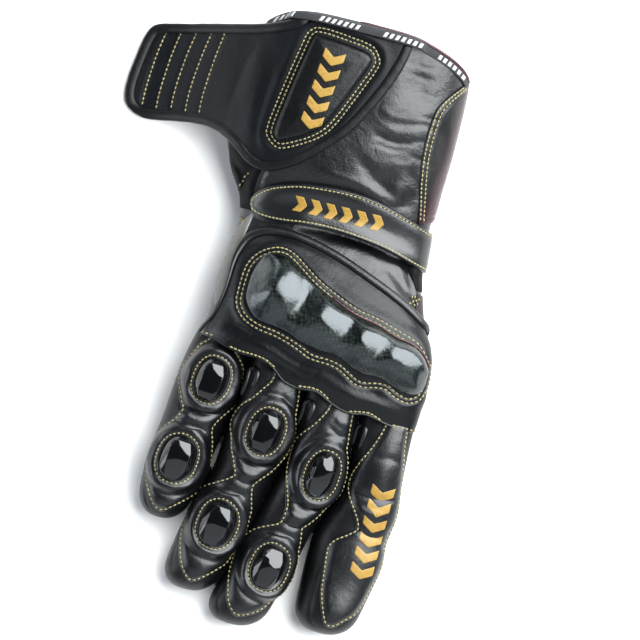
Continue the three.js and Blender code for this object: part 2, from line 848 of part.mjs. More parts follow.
// The cuff's thumb-side panel, from its double-stitched seam round the side
const sideOutline = [
  ...smoothLine(SIDE_SEAM, 1),
  new THREE.Vector2(62, 60),
  new THREE.Vector2(62, 110),
];
addPiece(
  "cuff_side_panel",
  layerOnHand(sideOutline, GAP, panelTop, 12)
    .intersect(beyond(hemLine, -1, -HEM_WIDTH - GAP))
    .subtract(prism(grow(strapOutline, GAP))),
  MATERIALS.leather,
);

// The tape sewn round the cuff's mouth
addPiece(
  "cuff_hem_tape",
  handBody(-GAP - HEM)
    .subtract(handBody(-GAP))
    .intersect(beyond(hemLine, -1, 0).intersect(beyond(hemLine, 1, -HEM_WIDTH)))
    .trimByPlane([0, 0, 1], 0),
  MATERIALS.tape,
);

// The closure flap with its rolled edge and the raised pad
const flapEdge = smoothLine(FLAP_EDGE, 1);
const flapInner = grow(flapEdge, -BINDING_RADIUS * 2 - GAP);
const FLAP_GRID = { x: 7.5, y: 24 };
addPiece("closure_flap", flapSheet(flapInner, 0, FLAP, FLAP_GRID), MATERIALS.leather);

const bindingLine = grow(flapEdge, -BINDING_RADIUS).slice(1, -1);
const bindingPath = bindingLine.map(
  (p) => new THREE.Vector3(p.x, p.y, flapUnder(p.x, p.y) + BINDING_RADIUS + 0.1),
);
addPiece("flap_binding", rolledEdge(bindingPath, BINDING_RADIUS, 44, 6), MATERIALS.leather);

const padOutline = smoothLine(PAD_OUTLINE, 1, true);
const padBase = FLAP + GAP;
addPiece(
  "wrist_bone_pad",
  flapSheet(padOutline, padBase, padBase + PAD, FLAP_GRID),
  MATERIALS.leather,
);

// The origin is the middle of the glove's footprint, on the table
const extent = new THREE.Box3().setFromObject(glove);
const middle = extent.getCenter(new THREE.Vector3());
glove.position.set(-middle.x, -middle.y, -extent.min.z);

export default glove;
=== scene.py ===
import math
import bpy
import bmesh
import numpy as np
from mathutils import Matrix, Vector
from mathutils.geometry import delaunay_2d_cdt
from mathutils.kdtree import KDTree


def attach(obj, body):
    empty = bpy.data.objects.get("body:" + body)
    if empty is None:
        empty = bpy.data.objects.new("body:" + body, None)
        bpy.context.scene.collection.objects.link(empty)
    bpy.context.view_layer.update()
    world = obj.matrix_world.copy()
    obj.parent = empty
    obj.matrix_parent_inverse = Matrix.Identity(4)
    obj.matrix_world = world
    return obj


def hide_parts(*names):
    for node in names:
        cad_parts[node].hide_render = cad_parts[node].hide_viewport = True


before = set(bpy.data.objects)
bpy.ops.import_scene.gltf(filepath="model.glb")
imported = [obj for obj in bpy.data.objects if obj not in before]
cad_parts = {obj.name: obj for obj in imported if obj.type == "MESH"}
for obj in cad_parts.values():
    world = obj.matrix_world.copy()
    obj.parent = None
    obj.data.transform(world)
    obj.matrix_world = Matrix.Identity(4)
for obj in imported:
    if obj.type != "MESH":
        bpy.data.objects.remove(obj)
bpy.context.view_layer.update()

# A right-hand leather motorcycle glove, palm down, closure flap laid open beside the cuff.
# Shapes are worked out in plan millimetres: fingers to -Y, cuff to +Y, the thumb's side is +X.
# PLAN_SHIFT moves them to the row's frame, whose origin is the middle of the glove's footprint.
PLAN_SHIFT = np.array([30.585, 4.99, 0.0])
MM = 0.001

GAP = 0.3
WALL = 2.0
PANEL = 1.3
FLAP = 2.6
FLAP_LIFT = 0.8
BINDING_HALF = 2.65
STITCH_RADIUS = 0.43
STITCH_SHARE = 0.4292
OVAL_POWER = 2.3
BATCH = 4000
FINE = 1.0
rng = np.random.default_rng(7)

# The cuff and the hand, from the mouth to the finger roots
HAND_COLUMNS = ("y", "left", "right", "low_left", "low_right", "top")
HAND_ROWS = [
    (160, -59, 37, -2, -2, 50),
    (130, -64.5, 41, -2, -2, 50),
    (100, -69, 42, -2, -2, 48),
    (76, -68.5, 41.5, -2, -2, 45),
    (62, -62, 41.5, -2, -1, 40.5),
    (50, -54.5, 41.6, -1, 0, 37),
    (38, -52, 42.8, 1, 1, 37),
    (25, -53.2, 46, 2.5, 7, 41),
    (12, -54.4, 50.2, 3, 15, 44.5),
    (0, -54.8, 55, 3, 19, 46.5),
    (-12, -55.2, 58.4, 3, 19.5, 46.5),
    (-25, -57.6, 58.8, 3, 19, 44),
    (-40, -60, 58.8, 3, 18.5, 41),
    (-60, -61, 58.8, 3, 18, 37),
]
PALM_CLIMB = (-32, -4)
FINGER_COLUMNS = ("y", "left", "right", "low", "top")
FINGER_ROWS = {
    "little": [
        (-10, -53.5, -28.6, 14, 34),
        (-22, -58.2, -28.8, 10.5, 34.4),
        (-40, -61.5, -29.3, 5, 34.6),
        (-55, -62.8, -30.6, 2.5, 32.5),
        (-70, -64, -33, 0, 30.5),
        (-85, -66, -34.9, -1.5, 29),
        (-100, -65.8, -37.8, -1.5, 26.5),
        (-116, -64.5, -41.4, -1.5, 24),
    ],
    "ring": [
        (-10, -28, 1, 16, 38.5),
        (-40, -28.8, 1.4, 15, 39),
        (-55, -30, 2.7, 10.5, 38),
        (-70, -31.3, 2.2, 5, 34.5),
        (-85, -32.7, -2.2, 0, 31),
        (-100, -36.3, -5.9, -1.5, 28.5),
        (-112, -39.6, -8.8, -1.5, 27.5),
        (-125, -42, -11.8, -1.5, 26),
        (-147, -44.5, -17.4, -1.5, 24),
    ],
    "middle": [
        (-10, 1.6, 30.2, 19, 38.5),
        (-40, 1.9, 30.6, 18.5, 39),
        (-55, 3.2, 31.4, 14, 38.5),
        (-70, 2.8, 32, 8.5, 35.5),
        (-85, -1.6, 30, 3, 32),
        (-100, -5.3, 24.4, -0.5, 29),
        (-112, -8.3, 21.6, -1.5, 27.5),
        (-125, -11.2, 18.8, -1.5, 26.5),
        (-145, -16.8, 13.6, -1.5, 25),
        (-158, -19.5, 10.5, -1.5, 23.5),
    ],
    "index": [
        (-10, 31, 57, 19, 34.5),
        (-40, 31.3, 59.6, 18, 36.2),
        (-55, 32, 60.2, 13, 36),
        (-70, 32.6, 61.3, 7, 33.5),
        (-85, 30.6, 63, 2, 31),
        (-100, 25, 61.4, -1.5, 28.5),
        (-112, 24.1, 62.2, -1.5, 27.5),
        (-125, 24.2, 60, -1.5, 26),
        (-151, 25.2, 55, -1.5, 24),
    ],
}
FINGER_TIPS = {"little": -116.2, "ring": -147.6, "middle": -158.6, "index": -151.6}
FINGER_ROOT = -16
TIP_LENGTH = 14
TIP_POWER = 2.5
WRIST_SPLIT = 49

# The thumb's middle line, with half sizes, from inside the hand to its end under the palm
THUMB_ROWS = [
    (34, 31, 14.5, 9.6, 9.5),
    (34.4, 21, 11, 10.2, 9.8),
    (34.6, 8, 8.6, 11.6, 9),
    (31, -6, 8, 13, 8.8),
    (22, -17, 7.9, 12.4, 8.6),
    (12, -26, 7.8, 11.6, 8.4),
]

# Seams on the finger backs, each a closed row of stitches
BACK_SEAMS = {
    "little": [
        (-46, -16), (-51, -24), (-54, -27), (-57, -33), (-59, -37.5), (-60.3, -43), (-59.8, -47), (-58, -52),
        (-56, -57), (-54.5, -61), (-56, -65), (-59, -69), (-62, -73), (-63.8, -78), (-64.7, -85),
        (-64.7, -92), (-63.4, -98), (-61, -103), (-58, -108), (-55, -111), (-51.5, -111.4),
        (-48, -109), (-44, -105.5), (-40, -101.5), (-37.4, -97.5), (-35.7, -92), (-35, -86),
        (-35.4, -80), (-36.8, -73), (-38.5, -67), (-37.5, -63), (-34.5, -58), (-31.3, -53), (-29.9, -49),
        (-29.9, -44), (-30.4, -38), (-31.5, -33), (-34.5, -29), (-37, -26.5), (-41, -16),
    ],
    "ring": [
        (-13.5, -22), (-14.5, -31.5), (-15.5, -36), (-18, -40), (-22, -46), (-26.2, -51), (-28.6, -57),
        (-28.9, -62), (-27, -68), (-25, -75), (-22.5, -81), (-20.7, -85), (-23, -88), (-28, -91.5),
        (-33, -95), (-36.4, -99), (-38.2, -108), (-39, -118), (-38.3, -124), (-37, -130),
        (-35, -135.5), (-32, -139.8), (-29, -141.8), (-26, -140.7), (-22, -137.5), (-18.5, -134),
        (-15, -130), (-12.8, -125), (-11.3, -120), (-10.1, -115), (-9.4, -108), (-9, -102),
        (-10.8, -94), (-11.3, -89), (-9.5, -85.5), (-5, -80), (-1.4, -74), (0.9, -69), (2, -63),
        (1.9, -58), (0.5, -52), (-0.5, -45), (-1.5, -37), (-3, -24),
    ],
    "middle": [
        (17.5, -28), (16, -41), (14, -46), (10.5, -52), (6.7, -57), (4.6, -61), (4, -68), (3.9, -75),
        (5, -81), (7, -88), (8.5, -94), (8.3, -99), (6.5, -103.5), (2, -106), (-3, -109),
        (-6.9, -113), (-9, -118), (-10.2, -125), (-10.6, -133), (-9.6, -140), (-7.8, -147),
        (-4.5, -151.5), (-1.5, -152.6), (3, -151), (7, -148.5), (11, -144), (14, -138), (16.8, -129),
        (18.4, -120), (19, -114), (18.3, -107), (18, -103), (21, -99), (25, -93), (28, -87),
        (29.8, -80), (30.4, -73), (29.8, -66), (29, -58), (28, -50), (27.5, -43), (27, -30),
    ],
    "index": [
        (48, -30), (45.5, -43), (44, -49), (41.5, -56), (38, -64), (36, -71), (36, -77), (38, -82),
        (42, -88), (45, -94), (44.7, -97), (41, -100.5), (36.5, -104), (34, -108), (34, -113),
        (35, -122), (36, -130), (38, -137), (40.5, -143), (42.6, -145.8), (46, -145.6), (50, -142),
        (54, -138), (56.5, -132), (58.3, -124), (60.3, -115), (60.6, -106), (59.5, -101),
        (60.3, -94), (61.4, -88), (61.2, -80), (60, -70), (58.5, -60), (57, -52), (56, -44), (55.5, -32),
    ],
}
# Hard protectors: finger, middle, half sizes of the row of stitches round each, its turn in degrees,
# and how far along it the ridge between its two facets lies
PROTECTORS = [
    ("little", -44.8, -42.6, 8.2, 12.0, -6, -0.55),
    ("little", -51.0, -84.8, 8.8, 12.6, -8, 0.02),
    ("ring", -12.0, -60.2, 8.2, 12.2, -7, -0.5),
    ("ring", -23.4, -111.6, 8.7, 12.8, -9, 0.02),
    ("middle", 20.2, -74.0, 7.4, 12.8, -6, -0.15),
    ("middle", 6.8, -125.6, 8.2, 12.4, -9, 0.02),
]

ROOT_SEAM = [
    (-72, -20), (-62, -21.5), (-50, -22.5), (-42, -25), (-34, -26.3), (-24, -26.5), (-17, -29),
    (-10, -34.3), (-3, -36), (3, -35.6), (8, -35.4), (15, -38.5), (22, -41), (28, -41.2),
    (34, -40), (39, -40.6), (45, -42), (52, -42.5), (60, -43), (75, -43),
]
ROOT_STITCHES = [
    [(-39, -24.4), (-34, -25), (-28, -25), (-22, -25.6), (-16.5, -28)],
    [(-1, -34.3), (4, -33.6), (9, -34), (13.5, -36.4)],
    [(26.5, -39.9), (31, -38.9), (36, -38.4), (41, -40)],
    [(49, -41.2), (54, -41.2), (59.5, -41.4)],
    [(-60.5, -20.5), (-56, -20.8), (-50, -21.2)],
]
HEM_EDGE = [
    (-90, 112), (-70, 131), (-62, 139), (-55, 144), (-47, 146.5), (-36, 147.8), (-10, 148.2),
    (8, 147.8), (20, 145.3), (31, 141.3), (38.5, 136.2), (42.5, 129), (60, 100),
]
HEM_WIDTH = 4.2
HEM_PRINTS = [(-60, -48), (-36, -19), (-7, 11), (22, 36)]

PIPING = [
    (-48.6, 16), (-47.9, 22), (-45.4, 29), (-40.6, 34), (-35, 36.4), (-28, 37.3), (-21, 37),
    (-12, 35.6), (0, 32.6), (15, 27.4), (30, 21.6), (42, 15.8), (51.5, 9.3), (58, 2),
]
PANEL_LEFT = [(-56.2, -25), (-54, -20), (-51.1, -10), (-49.3, 0), (-48.6, 10)]

GUARD_OUTLINE = [
    (-39.2, 5), (-39, 13), (-37, 20), (-34, 24), (-30, 26.4), (-25, 26.5), (-20, 25), (-15, 22),
    (-10, 19), (-5, 16), (0, 13.5), (5, 11.3), (10, 9), (15, 7.2), (20, 6), (25, 5.2), (30, 4),
    (35, 2.2), (40, 0.8), (45, 0.2), (50, -1.7), (54, -5), (57, -10), (58.4, -15), (58, -20),
    (56, -23.5), (52, -24.6), (47, -24), (42, -22.5), (38, -21), (33, -20.5), (28, -20.8),
    (22, -19.3), (17, -17), (12, -15.2), (7, -15), (2, -14.8), (-5, -13.6), (-10, -12), (-15, -10.2),
    (-20, -9.2), (-25, -8.9), (-30, -8), (-34, -5.5), (-37, -2), (-38.8, 1.5),
]
GUARD_LOWER_PART = 23
# The guard's bumps, one over each knuckle: middle, reach to each side, reach across, height and roundness
GUARD_BUMPS = [
    (-25.5, 9, 13, 14, 15, 7.2, 0.6),
    (0, 0.8, 10, 17, 15, 5.8, 0.0),
    (22, -4.8, 10, 15.5, 15, 5.0, 0.0),
    (38, -9.5, 9, 20, 14, 4.8, 0.0),
]
# The outer of the two rows of stitches round the guard
GUARD_STITCHES = [
    (-43.5, 5), (-43, 15), (-41.5, 20), (-38, 25), (-33, 28.5), (-28, 30), (-23, 29.5), (-18, 27),
    (-12.5, 23.4), (-6, 19.3), (0, 16.4), (6, 13.8), (12, 11.4), (18, 9.6), (24, 8.6), (30, 7.6),
    (36, 5.8), (42, 4.2), (50, 1.5), (54, -1.5), (58, -6), (60.5, -11), (61, -17), (60.5, -22),
    (58.5, -26), (54, -28.8), (50, -28.7), (45, -27.3), (40, -25), (36, -25.5), (30, -26.8), (25, -26.5),
    (20, -24), (15, -21.5), (10, -20.5), (0, -20), (-5, -18), (-12, -15.5), (-20, -13.5), (-28, -12.5),
    (-35, -10.5), (-40, -7), (-43, -2),
]
GUARD_TURN = -15
GUARD_LEVEL = 3.2

STRAP_TOP = [
    (-48, 47.5), (-48.4, 51), (-46.5, 55), (-42.5, 58.5), (-36, 61.5), (-26, 64.3), (-13, 66),
    (0, 66.4), (13, 65), (25, 62), (35, 58.8), (43, 55.6),
]
STRAP_BOTTOM = [
    (44.2, 35.6), (38, 37.5), (30, 40), (20, 42.5), (10, 44), (0, 44.7), (-10, 44.8), (-20, 44),
    (-30, 42.3), (-38, 41.8), (-43.5, 42.6), (-46.8, 44.6),
]

FLAP_EDGE = [
    (9.6, 142.8), (8, 134), (3.5, 120), (-3, 106), (-10, 94), (-18, 84.5), (-27, 76), (-36, 69.4),
    (-43, 66), (-49, 65.6), (-56, 68), (-63, 73), (-70, 77), (-76, 78.8), (-82, 79.2), (-92, 78),
    (-102, 76), (-111, 75), (-118, 76.7), (-122.3, 80), (-124.3, 86), (-124.4, 94), (-123, 107),
    (-121.5, 115), (-119, 120.5), (-114, 123.3), (-105, 125.5), (-90, 129.3), (-75, 133),
    (-65, 135.7), (-57, 138.6), (-52.5, 141.0), (-48.5, 143.4), (-44.2, 146.8),
]
QUILT_ROWS = [
    [(-111, 119.2), (-112.6, 110), (-113.6, 98), (-113.9, 88), (-113.7, 82)],
    [(-103.5, 120.5), (-105.1, 110), (-106, 98), (-106.3, 88), (-106, 82)],
    [(-95.7, 122.5), (-97.4, 112), (-98.6, 98), (-98.8, 90), (-98.5, 84)],
    [(-88.2, 124.6), (-90, 112), (-91.2, 99), (-91.4, 90), (-91, 84.2)],
    [(-81.8, 125.8), (-83.2, 113), (-84.2, 99), (-84.4, 91), (-84, 85.4)],
]
PAD_OUTLINE = [
    (-38, 137), (-30, 137.4), (-20, 136.6), (-12.5, 135.6), (-8.6, 133.2), (-8.6, 129), (-12, 120),
    (-16, 110), (-20, 100.5), (-24, 93.5), (-30, 88), (-37, 83.9), (-42, 81.8), (-45.2, 83.4), (-45.9, 88),
    (-44.6, 100), (-43, 112), (-41, 125), (-39.6, 133),
]
PAD_HEIGHT = 3.4
SIDE_SEAM = [
    (41, 134), (37.6, 130.2), (32, 122.8), (28.7, 116), (27.7, 107), (27.5, 99.7), (28.2, 90),
    (29.8, 81), (31.9, 72), (34, 62), (35, 57),
]

FLAP_SHOULDER = -44
FLAP_LANDING = -120
HAND_POWER = 2.35
FINGER_POWER = 2.25


def smoothstep(low, high, value):
    """0 at low, 1 at high and smooth between, whichever of the two is the larger."""
    t = np.clip((value - low) / (high - low), 0, 1)
    return t * t * (3 - 2 * t)


def smooth_max(a, b, blend):
    h = np.maximum(blend - np.abs(a - b), 0) / blend
    return np.maximum(a, b) + h * h * blend / 4


def smooth_min(a, b, blend):
    return -smooth_max(-a, -b, blend)


def hill(value, middle, width):
    """1 where the value is at the middle, nearly 0 two widths away."""
    return np.exp(-(((value - middle) / width) ** 2))


def squared(values, power):
    """Makes the sines or cosines of a round section those of a rounded box."""
    return np.sign(values) * np.abs(values) ** (2 / power)


def unit(vectors):
    return vectors / (np.linalg.norm(vectors, axis=1)[:, None] + 1e-9)


def tangents(points, closed):
    if closed:
        return np.roll(points, -1, axis=0) - np.roll(points, 1, axis=0)
    return np.gradient(points, axis=0)


def run_length(points):
    """How far along a line each of its points lies."""
    return np.concatenate([[0], np.cumsum(np.linalg.norm(np.diff(points, axis=0), axis=1))])


def points_at(at, along, line):
    return np.stack([np.interp(at, along, column) for column in line.T], axis=1)


def turned(xy, x, y, degrees):
    """Plan points as seen from (x, y), across and along a direction turned by so many degrees."""
    c, s = math.cos(math.radians(degrees)), math.sin(math.radians(degrees))
    dx, dy = xy[:, 0] - x, xy[:, 1] - y
    return dx * c + dy * s, dy * c - dx * s


def hermite(knots, values, at):
    """A smooth curve through values at rising knots."""
    slopes = np.empty_like(values)
    slopes[1:-1] = (values[2:] - values[:-2]) / (knots[2:] - knots[:-2])
    slopes[0] = (values[1] - values[0]) / (knots[1] - knots[0])
    slopes[-1] = (values[-1] - values[-2]) / (knots[-1] - knots[-2])
    at = np.clip(at, knots[0], knots[-1])
    i = np.clip(np.searchsorted(knots, at) - 1, 0, len(knots) - 2)
    span = knots[i + 1] - knots[i]
    t = (at - knots[i]) / span
    return (
        (2 * t**3 - 3 * t**2 + 1) * values[i]
        + (t**3 - 2 * t**2 + t) * span * slopes[i]
        + (3 * t**2 - 2 * t**3) * values[i + 1]
        + (t**3 - t**2) * span * slopes[i + 1]
    )


def smooth_line(points, step, closed=False):
    """Points every step millimetres along a smooth curve through the given ones."""
    points = np.asarray(points, float)
    if closed:
        points = np.vstack([points[-2:], points, points[:3]])
    lengths = np.sqrt(np.linalg.norm(np.diff(points, axis=0), axis=1))
    knots = np.concatenate([[0], np.cumsum(lengths)])
    first, last = (knots[2], knots[-3]) if closed else (knots[0], knots[-1])
    fine = np.linspace(first, last, 60 * len(points))
    curve = np.stack([hermite(knots, column, fine) for column in points.T], axis=1)
    along = run_length(curve)
    at = np.linspace(0, along[-1], max(2, round(along[-1] / step)) + 1)
    return points_at(at[:-1] if closed else at, along, curve)


def resample(outline, step):
    """Evenly spaced points along a closed outline."""
    loop = np.vstack([outline, outline[:1]])
    along = run_length(loop)
    at = np.linspace(0, along[-1], max(8, round(along[-1] / step)), endpoint=False)
    return points_at(at, along, loop)


def grow(outline, distance):
    """A closed plan outline moved outwards, or inwards when the distance is negative."""
    x, y = outline.T
    area = np.sum(x * np.roll(y, -1) - np.roll(x, -1) * y)
    along = unit(tangents(outline, True))
    side = 1 if area > 0 else -1
    return outline + side * distance * np.stack([along[:, 1], -along[:, 0]], axis=1)


def line_distance(points, line, closed=False):
    """Distance of each point from a line, and how far along it the nearest place is, from 0 to 1."""
    if closed:
        line = np.vstack([line, line[:1]])
    starts, spans = line[:-1], np.diff(line, axis=0)
    squares = np.maximum((spans**2).sum(axis=1), 1e-12)
    best = np.empty(len(points))
    share = np.empty(len(points))
    for first in range(0, len(points), BATCH):
        p = points[first:first + BATCH]
        rel = p[:, None, :] - starts[None]
        t = np.clip((rel * spans[None]).sum(axis=2) / squares[None], 0, 1)
        apart = np.linalg.norm(rel - t[..., None] * spans[None], axis=2)
        near = apart.argmin(axis=1)
        pick = np.arange(len(p))
        best[first:first + BATCH] = apart[pick, near]
        share[first:first + BATCH] = (near + t[pick, near]) / len(spans)
    return best, share


def inside(points, outline):
    x, y = points.T
    result = np.zeros(len(points), bool)
    for (x0, y0), (x1, y1) in zip(outline, np.roll(outline, -1, axis=0)):
        crosses = (y0 > y) != (y1 > y)
        if y1 != y0:
            result ^= crosses & (x < (x1 - x0) * (y - y0) / (y1 - y0) + x0)
    return result


def lumps(x, y, scale, seed):
    """Soft uneven ground from -1 to 1, with swellings about scale millimetres apart."""
    draw = np.random.default_rng(seed)
    total = np.zeros_like(np.asarray(x, float))
    for _ in range(7):
        angle = draw.uniform(0, math.tau)
        wave = math.tau / (scale * draw.uniform(0.7, 1.6))
        shift = draw.uniform(0, math.tau)
        total = total + np.sin((x * math.cos(angle) + y * math.sin(angle)) * wave + shift)
    return total / 3.5


def line_y(line, x):
    line = np.asarray(line, float)
    return np.interp(x, line[:, 0], line[:, 1])


# Folds, dents and seams in the leather are plan lines with a width and a height, below zero for a dent.
def crease(points, width, height, taper=True):
    line = smooth_line(points, 1.2)

    def relief(xy):
        apart, share = line_distance(xy, line)
        ends = np.sin(np.pi * np.clip(share, 0.02, 0.98)) ** 0.6 if taper else 1
        return height * ends * hill(apart, 0, width)

    return relief


def mound(x, y, radius_x, radius_y, height, turn=0.0):
    def relief(xy):
        p, q = turned(xy, x, y, turn)
        return height * hill(p, 0, radius_x) * hill(q, 0, radius_y)

    return relief


def grooves(rows, depth, width, closed=True):
    """The hollows that rows of stitches pull into the leather."""
    def relief(xy):
        total = np.zeros(len(xy))
        for row in rows:
            apart, _ = line_distance(xy, row, closed)
            total -= depth * hill(apart, 0, width)
        return total

    return relief


def oval_distance(xy, x, y, half_width, half_length, turn):
    """Roughly how far a plan point lies outside an oval, below zero inside it."""
    p, q = turned(xy, x, y, turn)
    power = OVAL_POWER
    rho = (np.abs(p / half_width) ** power + np.abs(q / half_length) ** power) ** (1 / power)
    return (rho - 1) * np.hypot(p, q) / np.maximum(rho, 1e-6)


def oval_line(x, y, half_width, half_length, turn, count=28):
    a = np.arange(count) * math.tau / count
    p = half_width * squared(np.cos(a), OVAL_POWER)
    q = half_length * squared(np.sin(a), OVAL_POWER)
    c, s = math.cos(math.radians(turn)), math.sin(math.radians(turn))
    return np.stack([x + p * c - q * s, y + p * s + q * c], axis=1)


class Surface:
    """Something to lay leather on: plan points become places (u, v) on it, measured in millimetres."""

    def height(self, uv):
        return np.zeros(len(uv))

    def normal(self, uv):
        du, dv = np.array([[0.25, 0]]), np.array([[0, 0.25]])
        across, along = self.point(uv + du) - self.point(uv - du), self.point(uv + dv) - self.point(uv - dv)
        return unit(np.cross(across, along))

    def place(self, uv, extra=0.0):
        n = self.normal(uv)
        return self.point(uv) + n * (self.height(uv) + extra)[:, None], n

    def seat(self, xy):
        """Places (u, v) whose raised leather, not the ground under it, is over the plan points."""
        aim = np.array(xy, float)
        for _ in range(4):
            miss = xy - self.place(self.to_uv(aim))[0][:, :2]
            aim = xy + np.clip(aim - xy + 0.8 * miss, -3.5, 3.5)
        return self.to_uv(aim)


class Loft(Surface):
    """A tube with rounded-box sections across y. u is the way round it from the middle of its back."""

    def __init__(self, columns, rows, power, reference, tip=None, seed=3, lump=0.16):
        data = np.array(rows, float)[::-1]
        self.y = data[:, 0]
        self.columns = dict(zip(columns, data.T))
        self.power, self.tip, self.seed, self.lump = power, tip, seed, lump
        self.reliefs = []
        self.angles = np.linspace(-math.pi / 2, 3 * math.pi / 2, 721)
        arc = run_length(self.bare(self.angles, np.full(721, float(reference))))
        self.arc = np.interp(math.pi / 2, self.angles, arc) - arc

    def size(self, name, y):
        return hermite(self.y, self.columns[name], y)

    def low(self, x, y):
        if "low" in self.columns:
            return self.size("low", y)
        share = smoothstep(*PALM_CLIMB, x)
        return self.size("low_left", y) * (1 - share) + self.size("low_right", y) * share

    def tip_scale(self, y, inset=0.0):
        if self.tip is None:
            return np.ones_like(y)
        t = np.clip((self.tip + TIP_LENGTH - y) / (TIP_LENGTH - inset), 0, 1)
        return np.maximum(1 - t**TIP_POWER, 0) ** (1 / TIP_POWER)

    def bare(self, angle, y, inset=0.0):
        left, right, top = (self.size(name, y) for name in ("left", "right", "top"))
        middle = (left + right) / 2
        s = np.sin(angle)
        x = middle + ((right - left) / 2 - inset) * squared(np.cos(angle), self.power)
        low = self.low(x, y)
        waist = (top + low) / 2
        z = waist + (np.where(s > 0, top - waist, waist - low) - inset) * squared(s, self.power)
        low_middle = self.low(middle, y)
        rest = low_middle + 0.45 * (top - low_middle)
        scale = self.tip_scale(y, inset)
        x = middle + (x - middle) * scale
        z = rest + (np.maximum(z, inset) - rest) * scale
        return np.stack([x, y, np.maximum(z, inset)], axis=-1)

    def at_angle(self, angle, y, inset=0.0):
        p = self.bare(angle, y, inset)
        flat = p.reshape(-1, 3)
        rise = self.lump * lumps(flat[:, 0], flat[:, 1], 22, self.seed)
        for relief in self.reliefs:
            rise = rise + relief(flat[:, :2])
        facing_up = smoothstep(0.0, 0.5, np.sin(angle))
        p[..., 2] += rise.reshape(p.shape[:-1]) * facing_up
        return p

    def angle_of(self, uv):
        return np.interp(-uv[:, 0], -self.arc, self.angles)

    def to_uv(self, xy):
        x, y = np.asarray(xy, float).T
        left, right = self.size("left", y), self.size("right", y)
        across = (x - (left + right) / 2) / ((right - left) / 2 * np.maximum(self.tip_scale(y), 1e-3))
        across = np.clip(across, -0.9995, 0.9995)
        angle = np.arccos(np.sign(across) * np.abs(across) ** (self.power / 2))
        return np.stack([np.interp(angle, self.angles, self.arc), y], axis=1)

    def point(self, uv):
        return self.at_angle(self.angle_of(uv), uv[:, 1])


class FlapGround(Surface):
    """What the closure flap lies on: the cuff's back, then down to the table."""

    def __init__(self, hand, reliefs):
        self.hand, self.reliefs = hand, reliefs

    def to_uv(self, xy):
        return np.asarray(xy, float).copy()

    def back(self, x, y):
        left, right, top = (self.hand.size(name, y) for name in ("left", "right", "top"))
        across = np.abs(x - (left + right) / 2) / ((right - left) / 2 + FLAP_LIFT)
        waist = (top + self.hand.low(x, y)) / 2
        power = self.hand.power
        height = waist + (top - waist + FLAP_LIFT) * np.maximum(1 - across**power, 0) ** (1 / power)
        return np.where(across < 1, height, -50)

    def point(self, uv):
        x, y = uv.T
        shoulder = self.back(np.full_like(x, FLAP_SHOULDER), y)
        drape = shoulder * smoothstep(FLAP_LANDING, FLAP_SHOULDER + 4, x)
        z = smooth_max(self.back(x, y), drape, 5)
        for relief in self.reliefs:
            z = z + relief(uv)
        return np.stack([x, y, np.maximum(z, 0)], axis=1)


class Patch(Surface):
    """A piece of leather lying on a surface, or on another patch, inside an outline.

    edge is how far in its edge is rounded. Each of hollows is a groove's place, width and depth, and
    swelling is where the leather starts and stops to rise, and how much, all measured in from the outline.
    """

    def __init__(
        self, host, outline, thickness, edge=1.0, lift=0.0, wrapped=False,
        raised=None, hollows=(), swelling=None
    ):
        self.host = host
        self.ground = getattr(host, "ground", host)
        self.outline = np.asarray(outline, float) if wrapped else self.ground.to_uv(outline)
        self.thickness, self.edge, self.lift, self.raised = thickness, edge, lift, raised
        self.hollows, self.swelling = hollows, swelling
        self.reliefs = []

    def clearance(self, xy):
        """How far the piece's underside stands off what it lies on."""
        return self.lift + (self.raised(xy) if self.raised else 0.0)

    def to_uv(self, xy):
        return self.ground.to_uv(xy)

    def point(self, uv):
        return self.ground.point(uv)

    def normal(self, uv):
        return self.ground.normal(uv)

    def height(self, uv):
        apart, _ = line_distance(uv, self.outline, closed=True)
        within = np.where(inside(uv, self.outline), apart, 0)
        return self.host.height(uv) + self.own_height(uv, within)

    def own_height(self, uv, within):
        rounding = np.sqrt(np.maximum(1 - (1 - np.clip(within / self.edge, 0, 1)) ** 2, 0))
        xy = self.ground.point(uv)[:, :2]
        rise = self.clearance(xy) + self.thickness * rounding
        for relief in self.reliefs:
            rise = rise + relief(xy) * smoothstep(0, self.edge, within)
        for middle, width, depth in self.hollows:
            rise = rise - depth * hill(within, middle, width)
        if self.swelling:
            start, end, height = self.swelling
            rise = rise + height * smoothstep(start, end, within)
        return rise

    def mesh(self, spacing, rings=(0.3, 0.75), sink=0.25, guides=()):
        """Vertices and faces of the closed piece, in plan millimetres."""
        uv, faces = triangulate(self.outline, spacing, rings, [self.to_uv(line) for line in guides])
        apart, _ = line_distance(uv, self.outline, closed=True)
        n = self.ground.normal(uv)
        ground = self.ground.point(uv)
        floor = self.host.height(uv) + self.clearance(ground[:, :2])
        top = ground + n * (self.host.height(uv) + self.own_height(uv, apart))[:, None]
        bottom = ground + n * (floor - sink)[:, None]
        count = len(uv)
        edges = dict.fromkeys(pair for face in faces for pair in zip(face, face[1:] + face[:1]))
        closed = list(faces) + [[count + i for i in reversed(face)] for face in faces]
        closed += [[b, a, count + a, count + b] for a, b in edges if (b, a) not in edges]
        return np.vstack([top, bottom]), closed


